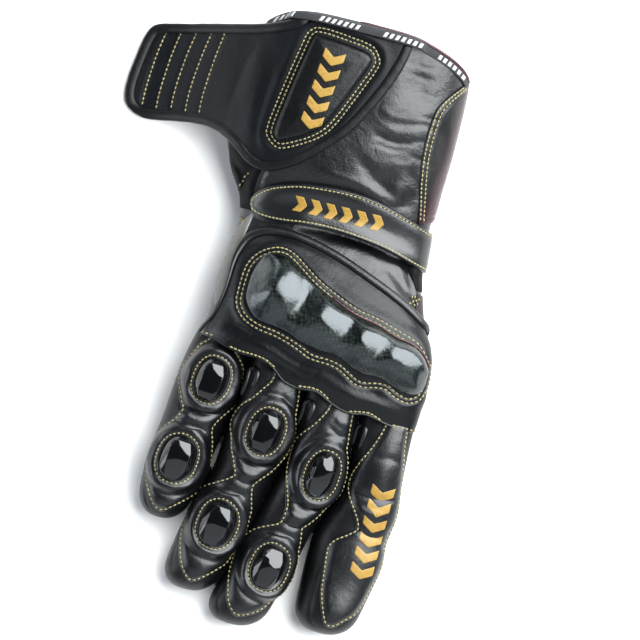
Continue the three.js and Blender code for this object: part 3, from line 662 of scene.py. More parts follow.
def triangulate(outline, spacing, rings, guides):
    """Fills an outline with triangles whose corners also follow the guide lines."""
    spacing = spacing / FINE
    border = resample(outline, spacing * 0.9)
    points = [border]
    for ring in rings:
        inner = grow(border, -ring)
        apart, _ = line_distance(inner, border, closed=True)
        points.append(inner[(apart > ring * 0.85) & inside(inner, border)])
    low, high = border.min(axis=0), border.max(axis=0)
    xs = np.arange(low[0], high[0], spacing)
    ys = np.arange(low[1], high[1], spacing * 0.87)
    grid = np.stack(np.meshgrid(xs, ys), axis=-1)
    grid[1::2, :, 0] += spacing / 2
    grid = grid.reshape(-1, 2)
    grid = grid[inside(grid, border)]
    apart, _ = line_distance(grid, border, closed=True)
    grid = grid[apart > rings[-1] + spacing * 0.45]
    if guides:
        marks = np.vstack(guides)
        apart, _ = line_distance(marks, border, closed=True)
        marks = marks[inside(marks, border) & (apart > rings[-1] + 0.2)]
        tree = KDTree(len(marks))
        for i, (u, v) in enumerate(marks):
            tree.insert((u, v, 0), i)
        tree.balance()
        grid = grid[[tree.find((u, v, 0))[2] > spacing * 0.55 for u, v in grid]]
        points.append(marks)
    points.append(grid)
    count = len(border)
    edges = [(i, (i + 1) % count) for i in range(count)]
    result = delaunay_2d_cdt([Vector(p) for p in np.vstack(points)], edges, [], 1, 1e-6)
    uv = np.array([v[:] for v in result[0]])
    faces = []
    for face in result[2]:
        a, b, c = uv[list(face)[:3]]
        turn = (b[0] - a[0]) * (c[1] - a[1]) - (b[1] - a[1]) * (c[0] - a[0])
        faces.append(list(face) if turn > 0 else list(reversed(face)))
    return uv, faces


def make_piece(name, verts, faces, material, nodes=(), slot=None, sharp=None):
    """A Blender object from plan millimetres, riding on the glove's one body."""
    mesh = bpy.data.meshes.new(name)
    mesh.from_pydata(((np.asarray(verts) + PLAN_SHIFT) * MM).tolist(), [], faces)
    mesh.update()
    mesh.materials.append(material)
    mesh.polygons.foreach_set("use_smooth", [True] * len(mesh.polygons))
    if sharp is not None:
        mesh.set_sharp_from_angle(angle=math.radians(sharp))
    piece = bpy.data.objects.new(name, mesh)
    bpy.context.scene.collection.objects.link(piece)
    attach(piece, "root")
    if nodes:
        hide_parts(*nodes)
    return piece


def lay(name, patch, spacing, material, nodes=(), slot="panel_leather", **how):
    """The piece of leather that a patch describes."""
    verts, faces = patch.mesh(spacing, **how)
    return make_piece(name, verts, faces, material, nodes, slot)


class Heap:
    """Collects many small closed forms into one mesh."""

    def __init__(self):
        self.verts, self.faces, self.count = [], [], 0

    def add(self, verts, faces):
        self.verts.append(np.asarray(verts, float))
        self.faces += [[i + self.count for i in face] for face in faces]
        self.count += len(verts)

    def piece(self, name, material, **kind):
        return make_piece(name, np.vstack(self.verts), self.faces, material, **kind)


def tube_faces(rings, sides, closed=False, capped=True, flip=False, base=0):
    """Faces round a tube whose points are stored ring after ring; flip turns them inside out."""
    faces = []
    for i in range(rings if closed else rings - 1):
        step = sides if i < rings - 1 else -i * sides
        for k in range(sides):
            p, q = base + i * sides + k, base + i * sides + (k + 1) % sides
            faces.append([p, q, q + step, p + step] if flip else [p, p + step, q + step, q])
    if capped:
        ends = [list(range(sides)), [(rings - 1) * sides + k for k in reversed(range(sides))]]
        faces += [end[::-1] for end in ends] if flip else ends
    return faces


def stitch_form(sides=6):
    """One stitch of thread along x, from -1 to 1, its ends dipping into the leather."""
    stations = [(-1.0, 0.35), (-0.72, 0.86), (0.0, 1.0), (0.72, 0.86), (1.0, 0.35)]
    angles = [math.tau * k / sides for k in range(sides)]
    verts = [
        (at, size * math.cos(a), size * math.sin(a) - 0.9 * at**2) for at, size in stations for a in angles
    ]
    return np.array(verts), tube_faces(len(stations), sides, flip=True)


STITCH_VERTS, STITCH_FACES = stitch_form()


def sew(heap, host, points, closed=False, pitch=2.3, extra=0.0, uv=False):
    """Adds a row of stitches along plan points, or places when uv is set, lying on the host."""
    line = smooth_line(points, pitch, closed)
    places = line if uv else host.to_uv(line)
    centre, n = host.place(places, extra + 0.14)
    tangent = tangents(centre, closed)
    tangent = unit(tangent - n * (tangent * n).sum(axis=1)[:, None])
    side = np.cross(n, tangent)
    v = STITCH_VERTS
    for c, t, s, up in zip(centre, tangent, side, n):
        half = pitch * STITCH_SHARE * rng.uniform(0.9, 1.04)
        wide = STITCH_RADIUS * rng.uniform(0.92, 1.08)
        turn = rng.uniform(-0.07, 0.07)
        along, across = t + s * turn, s - t * turn
        form = v[:, :1] * half * along + v[:, 1:2] * wide * across + v[:, 2:3] * wide * up
        heap.add(c + form, STITCH_FACES)


def roll(heap, centre, n, half_width, half_height, sides=12, taper=0, power=2.0):
    """Adds a rolled edge of leather along places with their normals; a power over 2 squares it."""
    tangent = unit(tangents(centre, False))
    n = unit(n - tangent * (tangent * n).sum(axis=1)[:, None])
    side = np.cross(n, tangent)
    count = len(centre)
    width = np.broadcast_to(half_width, count).astype(float).copy()
    tall = np.broadcast_to(half_height, count).astype(float).copy()
    for k in range(taper):
        shrink = math.sin(math.pi / 2 * (k + 0.35) / taper)
        for values in (width, tall):
            values[k] *= shrink
            values[-1 - k] *= shrink
    a = np.arange(sides) * math.tau / sides
    across = width[:, None] * squared(np.cos(a), power)
    rise = tall[:, None] * squared(np.sin(a), power)
    rings = centre[:, None] + side[:, None] * across[..., None] + n[:, None] * rise[..., None]
    heap.add(rings.reshape(-1, 3), tube_faces(count, sides))


# Materials
class Paint:
    """A new material and the nodes that the glove's materials share."""

    def __init__(self, name, **settings):
        self.material = bpy.data.materials.new(name)
        self.material.use_nodes = True
        self.tree = self.material.node_tree
        self.link = self.tree.links.new
        self.shader = self.tree.nodes["Principled BSDF"]
        for key, value in settings.items():
            self.shader.inputs[key.replace("_", " ")].default_value = value
        self.spot = self.add("TexCoord").outputs["Object"]

    def add(self, kind, **options):
        """A node; each option sets its input of that name, or else its property."""
        node = self.tree.nodes.new("ShaderNode" + kind)
        for key, value in options.items():
            socket = key.replace("_", " ")
            if socket in node.inputs:
                node.inputs[socket].default_value = value
            else:
                setattr(node, key, value)
        return node

    def texture(self, kind, output="Fac", **options):
        node = self.add("Tex" + kind, **options)
        self.link(self.spot, node.inputs["Vector"])
        return node.outputs[output]

    def ramp(self, source, dark, light, low=0.0, high=1.0):
        """A colour that goes from dark to light while the source goes from low to high."""
        node = self.add("ValToRGB")
        first, last = node.color_ramp.elements
        first.position, first.color = low, (*dark, 1)
        last.position, last.color = high, (*light, 1)
        self.link(source, node.inputs["Fac"])
        return node.outputs["Color"]

    def level(self, source, low, high, start=0.0, end=1.0):
        """A number that goes from low to high while the source goes from start to end."""
        node = self.add("MapRange", From_Min=start, From_Max=end, To_Min=low, To_Max=high)
        self.link(source, node.inputs["Value"])
        return node.outputs["Result"]

    def bump(self, source, strength, distance, under=None):
        node = self.add("Bump", Strength=strength, Distance=distance)
        self.link(source, node.inputs["Height"])
        if under:
            self.link(under, node.inputs["Normal"])
        return node.outputs["Normal"]

    def finish(self, **sources):
        for key, source in sources.items():
            self.link(source, self.shader.inputs[key.replace("_", " ")])
        return self.material


def leather(name, dark, light, rough, bump=0.5, grain=1150, wrinkle=0.35, reddish_reflection=False, shine=0.5):
    """Black grained leather: pebbled, with fine creases and patches of different shine.

    The colours are in thousandths. Where asked, a painted reddish reflection turns the leather maroon low
    down on the glove's side.
    """
    dark, light = np.array(dark) / 1000, np.array(light) / 1000
    paint = Paint(name, Specular_IOR_Level=shine)
    patches = paint.texture("Noise", Scale=38.0, Detail=4.0, Roughness=0.6)
    fine = paint.texture("Noise", Scale=420.0, Detail=5.0, Roughness=0.65)
    cells = paint.texture("Voronoi", "Distance", Scale=grain, feature="SMOOTH_F1")
    lines = paint.texture("Noise", Scale=95.0, Detail=6.0, Roughness=0.62, Distortion=0.9)
    color = paint.ramp(patches, dark, light, 0.34, 0.72)
    # Painted reddish reflection: maroon mixed into the colour below about 37 mm up, fully so below 22 mm
    if reddish_reflection:
        place = paint.add("SeparateXYZ")
        paint.link(paint.spot, place.inputs["Vector"])
        maroon = paint.add("MixRGB", Color2=(0.030, 0.003, 0.0085, 1))
        paint.link(paint.level(place.outputs["Z"], 0.0, 1.0, 0.037, 0.022), maroon.inputs["Fac"])
        paint.link(color, maroon.inputs["Color1"])
        color = maroon.outputs["Color"]
    both = paint.add("Math", operation="ADD")
    paint.link(patches, both.inputs[0])
    paint.link(fine, both.inputs[1])
    roughness = paint.level(both.outputs[0], *rough, 0.6, 1.4)
    pebbles = paint.bump(cells, bump, 0.00010, paint.bump(lines, wrinkle, 0.0008))
    return paint.finish(Base_Color=color, Roughness=roughness, Normal=pebbles)


def thread_material():
    paint = Paint("cream_thread", Roughness=0.7)
    shade = paint.texture("Noise", Scale=900.0, Detail=2.0)
    twist = paint.texture("Wave", Scale=1400.0, Distortion=1.5)
    color = paint.ramp(shade, (0.132, 0.112, 0.042), (0.272, 0.240, 0.118), 0.3, 0.7)
    return paint.finish(Base_Color=color, Normal=paint.bump(twist, 0.4, 0.0001))


def gem_material():
    """Polished black plastic with faint scuffs."""
    paint = Paint("black_gem")
    scuffs = paint.texture("Noise", Scale=300.0, Detail=6.0, Roughness=0.7)
    color = paint.ramp(scuffs, (0.00112, 0.00119, 0.0014), (0.00224, 0.00238, 0.0028))
    return paint.finish(Base_Color=color, Roughness=paint.level(scuffs, 0.03, 0.09))


def carbon_material():
    """Woven carbon under clear lacquer: a twill of dark bands, each with its own sheen."""
    paint = Paint("carbon_weave", Specular_IOR_Level=0.62, Specular_Tint=(0.90, 0.96, 1.0, 1))
    slanted = paint.add("Mapping", Rotation=(0, 0, math.radians(32)), Scale=(620, 620, 620))
    paint.link(paint.spot, slanted.inputs["Vector"])
    dull, bright = (0.0008, 0.0011, 0.0011, 1), (0.0130, 0.0180, 0.0140, 1)
    weave = paint.add("TexChecker", Scale=1.0, Color1=dull, Color2=bright)
    paint.link(slanted.outputs["Vector"], weave.inputs["Vector"])
    mottle = paint.texture("Noise", Scale=150.0, Detail=4.0, Roughness=0.7)
    waves = paint.texture("Noise", Scale=190.0, Detail=3.0, Roughness=0.55)
    dim = paint.add("MixRGB", blend_type="MULTIPLY", Fac=1.0)
    paint.link(weave.outputs["Color"], dim.inputs["Color1"])
    paint.link(paint.ramp(mottle, (0.05, 0.06, 0.05), (1.0, 1.0, 0.9), 0.38, 0.66), dim.inputs["Color2"])
    fibres = paint.bump(weave.outputs["Fac"], 0.12, 0.00006, paint.bump(waves, 0.50, 0.0006))
    rough = paint.level(mottle, 0.09, 0.40)
    return paint.finish(Base_Color=dim.outputs["Color"], Roughness=rough, Normal=fibres)


def print_material(name, dark, light, rough):
    """Ink that is a little worn."""
    paint = Paint(name, Roughness=rough)
    wear = paint.texture("Noise", Scale=500.0, Detail=5.0, Roughness=0.7)
    color = paint.ramp(wear, dark, light, 0.32, 0.5)
    return paint.finish(Base_Color=color, Normal=paint.bump(wear, 0.3, 0.0001))


def tape_material():
    """Woven black tape with a close rib."""
    paint = Paint("woven_tape", Roughness=0.85)
    rib = paint.texture("Wave", Scale=900.0, Distortion=0.6)
    blot = paint.texture("Noise", Scale=200.0, Detail=3.0)
    color = paint.ramp(blot, (0.006, 0.006, 0.007), (0.026, 0.026, 0.028))
    return paint.finish(Base_Color=color, Normal=paint.bump(rib, 0.5, 0.0002))


SHELL = leather("shell_leather", (1.0, 1.2, 1.6), (2.6, 2.8, 3.4), (0.26, 0.40), wrinkle=0.6, shine=0.44)
BACK = leather("finger_leather", (0.9, 1.1, 1.5), (2.2, 2.5, 3.1), (0.27, 0.40), bump=0.4, shine=0.42)
KNUCKLES = leather("panel_leather", (0.9, 1.2, 1.7), (2.2, 2.6, 3.4), (0.27, 0.40), bump=0.4, shine=0.25)
FLAP_SKIN = leather("flap_leather", (1.2, 1.5, 2.1), (2.8, 3.4, 4.6), (0.36, 0.48), shine=0.13)
PAD_SKIN = leather("pad_leather", (0.7, 0.8, 1.0), (1.6, 1.7, 2.1), (0.30, 0.42), shine=0.26)
SIDE = leather("gusset_leather", (0.8, 0.9, 1.2), (1.9, 2.1, 2.6), (0.36, 0.52), shine=0.22)
STRAP_SKIN = leather("strap_leather", (1.4, 1.5, 1.8), (3.0, 3.2, 3.6), (0.27, 0.35), wrinkle=0.12)
ROLLED = leather("rolled_leather", (0.9, 1.1, 1.4), (2.1, 2.4, 2.9), (0.30, 0.42), grain=1300, shine=0.4)
BOUND = leather("binding_leather", (0.9, 1.1, 1.4), (2.1, 2.4, 2.9), (0.36, 0.50), shine=0.2)
# Darker, duller leather: painted shade where the glove lies in shadow
SHADE_MATT = leather("painted_shade_matt_leather", (0.5, 0.6, 0.9), (1.3, 1.5, 2.0), (0.50, 0.66), shine=0.08)
MAROON = leather("maroon_leather", (22, 2, 5.5), (42, 4, 10), (0.35, 0.5))
# Pale leather is a painted highlight: the lit flank of the hand's side
HIGHLIGHT_LEATHER = leather("painted_highlight_leather", (58, 55, 49), (118, 112, 101), (0.34, 0.46), wrinkle=0.7)
# Leather whose maroon low down is a painted reddish reflection
REDDISH_REFLECTION_LEATHER = leather("reddish_reflection_leather", (1.2, 1.4, 1.6), (2.8, 3.0, 3.4), (0.28, 0.40), reddish_reflection=True, shine=0.32)
DEEP_MAROON = leather("deep_maroon_leather", (4.0, 0.8, 1.6), (8.5, 1.2, 2.8), (0.40, 0.55), shine=0.3)
THREAD = thread_material()
GEM = gem_material()
CARBON = carbon_material()
GOLD = print_material("gold_print", (0.165, 0.090, 0.007), (0.235, 0.134, 0.014), 0.5)
WHITE = print_material("white_print", (0.22, 0.22, 0.23), (0.42, 0.42, 0.43), 0.6)
TAPE = tape_material()


# The body of the glove
hand = Loft(HAND_COLUMNS, HAND_ROWS, HAND_POWER, reference=10)
cuff = Loft(HAND_COLUMNS, HAND_ROWS, HAND_POWER, reference=100)
fingers = {}
for number, (name, rows) in enumerate(FINGER_ROWS.items()):
    tip = FINGER_TIPS[name]
    reference = tip * 0.5 - 20
    fingers[name] = Loft(FINGER_COLUMNS, rows, FINGER_POWER, reference, tip, seed=11 + number, lump=0.25)

hand_folds = [
    crease([(-68, 74), (-63, 66), (-57, 62), (-50, 62)], 1.8, -2.0),
    crease([(-66, 68), (-61, 61), (-57, 56), (-55, 50)], 1.6, 1.5),
    crease([(-56, 49), (-53, 46), (-48, 46.5)], 1.3, -1.8),
    crease([(-52, 64), (-54.5, 58), (-54.5, 51), (-52, 45)], 1.5, -1.8),
    crease([(-48, 66), (-50.5, 59), (-50, 52), (-49, 47)], 1.6, 1.3),
    crease([(-45, 67), (-47, 62), (-46.5, 58)], 1.3, -1.2),
    crease([(31, 41), (35, 36), (38, 30), (40, 26)], 1.4, -1.5),
    crease([(37, 40), (41, 36), (43.5, 31)], 1.5, 1.3),
    crease([(-26, 42.6), (-6, 44.2), (14, 42.8), (28, 39.6), (41, 35)], 3.3, -3.4),
    crease([(20, 36), (30, 31), (38, 25), (44, 22)], 2.2, -1.6),
    crease([(26, 38), (36, 34), (43, 30)], 1.8, 1.2),
    crease([(33, 40), (40, 30), (42, 24)], 1.6, -1.3),
    crease([(10, 39), (24, 34), (36, 27)], 2.6, 0.9),
    mound(44, 30, 5, 4, 1.6),
    crease([(-46, 41), (-38, 40), (-28, 40.5)], 1.6, -0.9),
    crease([(-52, 30), (-53, 15), (-53.5, 0)], 3.0, 0.7),
    mound(-5, 41, 14, 3, -0.8),
]
cuff_folds = [
    crease([(2, 98), (10, 95), (18, 96), (26, 99)], 1.5, -0.7),
    crease([(4, 93), (12, 91.5), (20, 93)], 1.4, -0.5),
    crease([(6, 102), (14, 100.5), (22, 103)], 1.8, 0.5),
    mound(14, 76, 7, 5, -1.5, 20),
    mound(27, 69, 4, 5, -1.2),
    mound(18, 124, 6, 9, -1.2, 15),
    mound(8, 112, 8, 8, 0.8),
    crease([(-4, 84), (4, 78), (12, 72), (22, 68)], 3.2, -1.1),
    crease([(24, 84), (30, 76), (33, 68)], 2.4, -0.9),
    crease([(-20, 72), (-8, 71), (6, 70), (20, 67)], 2.4, 0.9),
    crease([(34, 112), (36, 100), (35.5, 86)], 3.0, -0.8),
    crease([(-60, 64), (-56, 59), (-54, 54)], 1.4, -1.0),
    mound(24, 108, 7, 14, 0.9),
]
for _ in range(26):
    x, y = rng.uniform(0, 30), rng.uniform(64, 138)
    reach, slant = rng.uniform(3, 7), rng.uniform(-1.2, 2.2)
    line = [(x - reach, y - slant), (x, y + rng.uniform(-1.2, 1.2)), (x + reach, y + slant)]
    cuff_folds.append(crease(line, rng.uniform(0.9, 1.5), rng.uniform(-0.42, 0.25)))
hand.reliefs += hand_folds
cuff.reliefs += hand_folds + cuff_folds

finger_folds = {
    "little": [
        crease([(-58, -57), (-50, -60), (-41, -59), (-34, -56)], 1.8, -1.1),
        crease([(-56, -62), (-48, -64.5), (-40, -63)], 1.5, 0.9),
        crease([(-58, -67), (-50, -69), (-40, -67.5)], 1.6, -0.7),
        crease([(-60, -101), (-52, -104), (-43, -102)], 2.0, -0.4),
        mound(-50, -108, 8, 5, 0.6),
    ],
    "ring": [
        crease([(-26, -75), (-16, -78.5), (-6, -77)], 1.9, -1.2),
        crease([(-25, -81), (-15, -84), (-8, -82.5)], 1.6, 0.9),
        crease([(-23, -86), (-16, -88.5), (-10, -87)], 1.6, -0.8),
        crease([(-30, -93), (-22, -95.5), (-12, -93.5)], 1.8, -0.7),
        crease([(-9, -40), (-6, -44), (-2, -46)], 1.6, -0.7),
        mound(-27, -133, 8, 6, 0.6),
    ],
    "middle": [
        crease([(8, -90), (16, -93), (26, -90.5)], 1.9, -1.2),
        crease([(8, -96.5), (15, -98.5), (21, -97)], 1.5, 0.9),
        crease([(7, -101.5), (13, -103.5), (19, -102)], 1.5, -0.8),
        crease([(18, -50), (23, -53), (28, -53)], 1.6, -0.8),
        crease([(0, -108.5), (8, -109.5), (17, -107.5)], 1.6, -0.5),
        crease([(20, -45), (25, -47), (29, -46.5)], 1.6, 0.7),
        mound(3, -146, 8, 6, 0.6),
    ],
    "index": [
        crease([(37, -76), (46, -79), (57, -77.5), (62, -75)], 2.2, -0.9),
        crease([(38, -84), (47, -87), (58, -86)], 2.0, 0.7),
        crease([(44, -96), (51, -98), (60, -97)], 1.8, -0.9),
        crease([(44, -60), (52, -58), (59, -60)], 2.2, -0.5),
        mound(50, -68, 8, 8, 0.7),
        mound(45, -136, 8, 8, 0.5),
    ],
}
TIP_SEAMS = {
    "ring": [
        [(-40.5, -126), (-40.5, -134), (-39, -140)],
        [(-16, -136), (-17.5, -142), (-20, -145), (-25, -147)],
    ],
    "middle": [[(-12.5, -140), (-13, -149), (-11, -154.5)]],
    "index": [[(32.5, -119), (32, -135), (34, -146), (39, -149.5)]],
    "little": [[(-63.2, -104), (-60.5, -110), (-57, -114)]],
}
for name, finger in fingers.items():
    finger.reliefs += finger_folds[name]
    finger.reliefs += [crease(line, 0.7, -0.8) for line in TIP_SEAMS[name]]


def shell_mesh(loft, start, end, stations, sides):
    """A hollow tube with 2 mm walls between two seams, each given as y for each x."""
    angle = (np.arange(sides) + 0.5) * math.tau / sides

    def layer(inset):
        share = np.linspace(0, 1, stations)[:, None] * np.ones((1, sides))
        a = np.ones((stations, 1)) * angle[None]
        y = start(0) + (end(0) - start(0)) * share
        for _ in range(4):
            x = loft.bare(a, y)[..., 0]
            y = start(x) + (end(x) - start(x)) * share
        return loft.at_angle(a, y, inset).reshape(-1, 3)

    count = stations * sides
    last = count - sides
    faces = tube_faces(stations, sides, capped=False, flip=True)
    faces += tube_faces(stations, sides, capped=False, base=count)
    for k in range(sides):
        m = (k + 1) % sides
        faces.append([k, count + k, count + m, m])
        faces.append([last + m, count + last + m, count + last + k, last + k])
    return np.vstack([layer(0.0), layer(WALL)]), faces


def sleeve_mesh(loft, root, step, sides):
    """A hollow finger closed at its tip."""
    angle = (np.arange(sides) + 0.5) * math.tau / sides
    verts, faces = [], []
    base = 0
    for inset, flip in ((0.0, True), (WALL, False)):
        start = loft.tip + TIP_LENGTH
        straight = np.arange(root, start + step / 2, -step)
        swing = np.linspace(0, math.pi / 2 - 0.03, round(TIP_LENGTH * 1.3 / step))
        ys = np.concatenate([straight, start - (TIP_LENGTH - inset) * np.sin(swing)])
        rings = loft.at_angle(np.ones((len(ys), 1)) * angle[None], ys[:, None] * np.ones((1, sides)), inset)
        verts += [rings.reshape(-1, 3), rings[-1].mean(axis=0, keepdims=True)]
        faces += tube_faces(len(ys), sides, capped=False, flip=flip, base=base)
        cap = base + len(ys) * sides
        for k in range(sides):
            m = (k + 1) % sides
            fan = [cap - sides + k, cap - sides + m, cap]
            faces.append(fan if flip else fan[::-1])
            if not flip:
                faces.append([k, base + k, base + m, m])
        base = cap + 1
    return np.vstack(verts), faces


def thumb_mesh(steps=70, sides=72):
    """The thumb's sleeve, folded under the palm."""
    rows = np.array(THUMB_ROWS, float)
    knots = np.arange(len(rows), dtype=float)
    share = np.linspace(0, len(rows) - 1, steps)
    line = np.stack([hermite(knots, column, share) for column in rows.T], axis=1)
    tangent = np.gradient(line[:, :2], axis=0)
    tangent /= np.linalg.norm(tangent, axis=1)[:, None]
    swing = np.linspace(0.06, math.pi / 2 - 0.03, 16)
    tip = line[-1] + np.outer(TIP_LENGTH * np.sin(swing), [*tangent[-1], 0, 0, 0])
    scale = np.concatenate([np.ones(steps), (1 - np.sin(swing) ** TIP_POWER) ** (1 / TIP_POWER)])
    line = np.vstack([line, tip])
    tangent = np.vstack([tangent, np.repeat(tangent[-1:], len(tip), axis=0)])
    a = (np.arange(sides) + 0.5) * math.tau / sides
    width = line[:, 3:4] * scale[:, None] * squared(np.cos(a), FINGER_POWER)[None]
    x = line[:, 0:1] - tangent[:, 1:] * width
    y = line[:, 1:2] + tangent[:, :1] * width
    z = line[:, 2:3] + line[:, 4:5] * scale[:, None] * squared(np.sin(a), FINGER_POWER)[None]
    rings = np.stack([x, y, np.maximum(z, 0)], axis=-1)
    return rings.reshape(-1, 3), tube_faces(len(rings), sides)


root_seam = smooth_line(ROOT_SEAM, 1.5)
hem_line = smooth_line(HEM_EDGE, 1.5)


def hem_seam(x):
    return line_y(hem_line, x)


def wrist_seam(x):
    return WRIST_SPLIT + 0.0 * x


def knuckle_seam(x):
    return line_y(root_seam, x) + GAP


sides_body = 260
verts, faces = shell_mesh(cuff, hem_seam, wrist_seam, int(92 * FINE), sides_body)
make_piece("gauntlet_cuff_skin", verts, faces, SHELL, ["gauntlet_cuff"], "shell_leather")
verts, faces = shell_mesh(hand, wrist_seam, knuckle_seam, int(88 * FINE), sides_body)
make_piece("hand_skin", verts, faces, SHELL, ["hand_shell"], "shell_leather")
for name, finger in fingers.items():
    verts, faces = sleeve_mesh(finger, FINGER_ROOT, 0.85 / FINE, 120)
    make_piece(name + "_finger_skin", verts, faces, SIDE, [name + "_finger"], "shell_leather")
make_piece("thumb_skin", *thumb_mesh(), SHELL, ["thumb_sleeve"], "shell_leather")

# A wall across the end of the hand, between the finger roots, in darker matt leather as painted shade
wall_x = np.linspace(-56, 56, 110)
wall_rows = []
for behind, shares in ((1.0, np.linspace(0, 1, 9)), (2.2, np.linspace(1, 0, 9))):
    wall_y = line_y(root_seam, wall_x) + behind
    angle = hand.angle_of(hand.to_uv(np.column_stack([wall_x, wall_y])))
    top, foot = hand.at_angle(angle, wall_y, 0.6), hand.at_angle(-angle, wall_y, 0.6)
    wall_rows += [top * share + foot * (1 - share) for share in shares]
wall_verts = np.stack(wall_rows, axis=1).reshape(-1, 3)
wall_faces = tube_faces(len(wall_x), len(wall_rows), flip=True)
make_piece("finger_root_wall", wall_verts, wall_faces, SHADE_MATT, slot="shell_leather")

# The stitched leather on the finger backs, and the protectors in it
cream = Heap()
backs = {}


def protector_relief(x, y, half_width, half_length, turn):
    """The leather swelling up round a protector, with the groove that its stitches lie in."""
    def relief(xy):
        out = oval_distance(xy, x, y, half_width, half_length, turn)
        dome = 1.7 * (1 - smoothstep(1.0, 6.5, out))
        fuller = 1 + 0.45 * ((xy[:, 0] - x) * 0.8 - (xy[:, 1] - y) * 0.5) / half_length
        fuller = fuller + 0.3 * lumps(xy[:, 0], xy[:, 1], 9, 21)
        puff = 0.75 * np.clip(fuller, 0, 2) * hill(out, 2.6, 1.6)
        sunk = 1.6 * smoothstep(-0.9, -2.0, out)
        return dome + puff - 0.5 * hill(out, 0, 0.7) - 0.35 * hill(out, 6.2, 1.3) - sunk

    return relief


def gem_form(half_width, half_length, ridge):
    """A long cut protector: sloped sides under two flat facets that meet at a ridge. y is along it."""
    end_rise = 5.0 - 2.5 * (ridge + 0.84)
    table = [(0.40, 0.76, 4.3), (0.66, 0.34, 5.0), (0.66, ridge, 5.0), (0.42, -0.84, end_rise)]
    points = []
    for p, q in oval_line(0, 0, half_width, half_length, 0):
        points += [(p, q, -1.6), (p, q, 1.0), (p * 0.96, q * 0.97, 1.9)]
    for side in (-1, 1):
        points += [(side * p * half_width, q * half_length, rise) for p, q, rise in table]
    return points


def gem_mesh(host, x, y, half_width, half_length, turn, ridge):
    centre, n = (values[0] for values in host.host.place(host.to_uv(np.array([[x, y]]))))
    along = np.array([-math.sin(math.radians(turn)), math.cos(math.radians(turn)), 0.0])
    along -= n * along.dot(n)
    along /= np.linalg.norm(along)
    across = np.cross(along, n)
    form = bmesh.new()
    for p, q, r in gem_form(half_width, half_length, ridge):
        form.verts.new(centre + across * p + along * q + n * (r + PANEL + 1.0))
    bmesh.ops.convex_hull(form, input=form.verts)
    loose = [v for v in form.verts if not v.link_faces]
    bmesh.ops.delete(form, geom=loose, context="VERTS")
    bmesh.ops.dissolve_limit(form, angle_limit=math.radians(4), verts=form.verts, edges=form.edges)
    bevel = {"offset": 0.28, "segments": 3, "profile": 0.5, "affect": "EDGES", "clamp_overlap": True}
    bmesh.ops.bevel(form, geom=list(form.edges), **bevel)
    bmesh.ops.recalc_face_normals(form, faces=form.faces)
    verts = np.array([v.co[:] for v in form.verts])
    form.verts.index_update()
    faces = [[v.index for v in f.verts] for f in form.faces]
    form.free()
    return verts, faces


for name, seam in BACK_SEAMS.items():
    own = [row[1:] for row in PROTECTORS if row[0] == name]
    line = smooth_line(seam, 1.0, closed=True)
    past_root = line[:, 1] - line_y(root_seam, line[:, 0])
    outline = grow(fingers[name].to_uv(line[past_root < 4]), 1.35)
    back = Patch(
        fingers[name], outline, PANEL, edge=0.9, wrapped=True,
        hollows=[(1.35, 0.62, 0.42)], swelling=(1.6, 5.0, 0.6)
    )
    backs[name] = back
    guides = []
    for x, y, half_width, half_length, turn, ridge in own:
        back.reliefs.append(protector_relief(x, y, half_width, half_length, turn))
        for out in (-2.2, -1.6, -1.1, -0.6, 0.0, 0.6, 1.2):
            oval = oval_line(x, y, half_width + out, half_length + out, turn)
            guides.append(smooth_line(oval, 0.6, closed=True))
    rings = (0.3, 0.85, 1.4, 2.0)
    lay(name + "_back", back, 0.75, BACK, [name + "_back_panel"], rings=rings, guides=guides)
    rows = line[past_root < -0.5]
    first = int(np.argmax(np.linalg.norm(np.roll(rows, 1, axis=0) - rows, axis=1)))
    sew(cream, back, np.roll(rows, -first, axis=0))
    for number, (x, y, half_width, half_length, turn, ridge) in enumerate(own, 1):
        sew(cream, back, oval_line(x, y, half_width, half_length, turn), closed=True, pitch=1.95)
        verts, faces = gem_mesh(back, x, y, half_width - 0.6, half_length - 0.7, turn, ridge)
        label = f"{name}_guard_{number}"
        make_piece(label + "_gem", verts, faces, GEM, [label], "finger_guard", sharp=30)

# The back of the hand
left_side = smooth_line(PANEL_LEFT, 1.5)
top_side = smooth_line(PIPING, 1.5)
seam_part = root_seam[(root_seam[:, 0] > -57) & (root_seam[:, 0] < 59.5)][::-1]
upper_uv = hand.to_uv(np.vstack([left_side, top_side[top_side[:, 0] < 53.5]]))
lower_uv = hand.to_uv(seam_part)
right_uv = lower_uv[0] * (1, 0) + [(4, 5.5), (9, -1), (9.5, -15), (9.5, -30), (9, -42.6)]
panel = Patch(
    hand, np.vstack([upper_uv, right_uv, lower_uv]), PANEL, edge=1.1, wrapped=True, swelling=(1.0, 5.0, 0.4)
)
guard_rows = smooth_line(GUARD_OUTLINE, 1.0, closed=True)


def guard_bed(xy):
    apart, _ = line_distance(xy, guard_rows, closed=True)
    beyond = np.where(inside(xy, guard_rows), 0, apart)
    return np.exp(-((beyond / 6.5) ** 4))


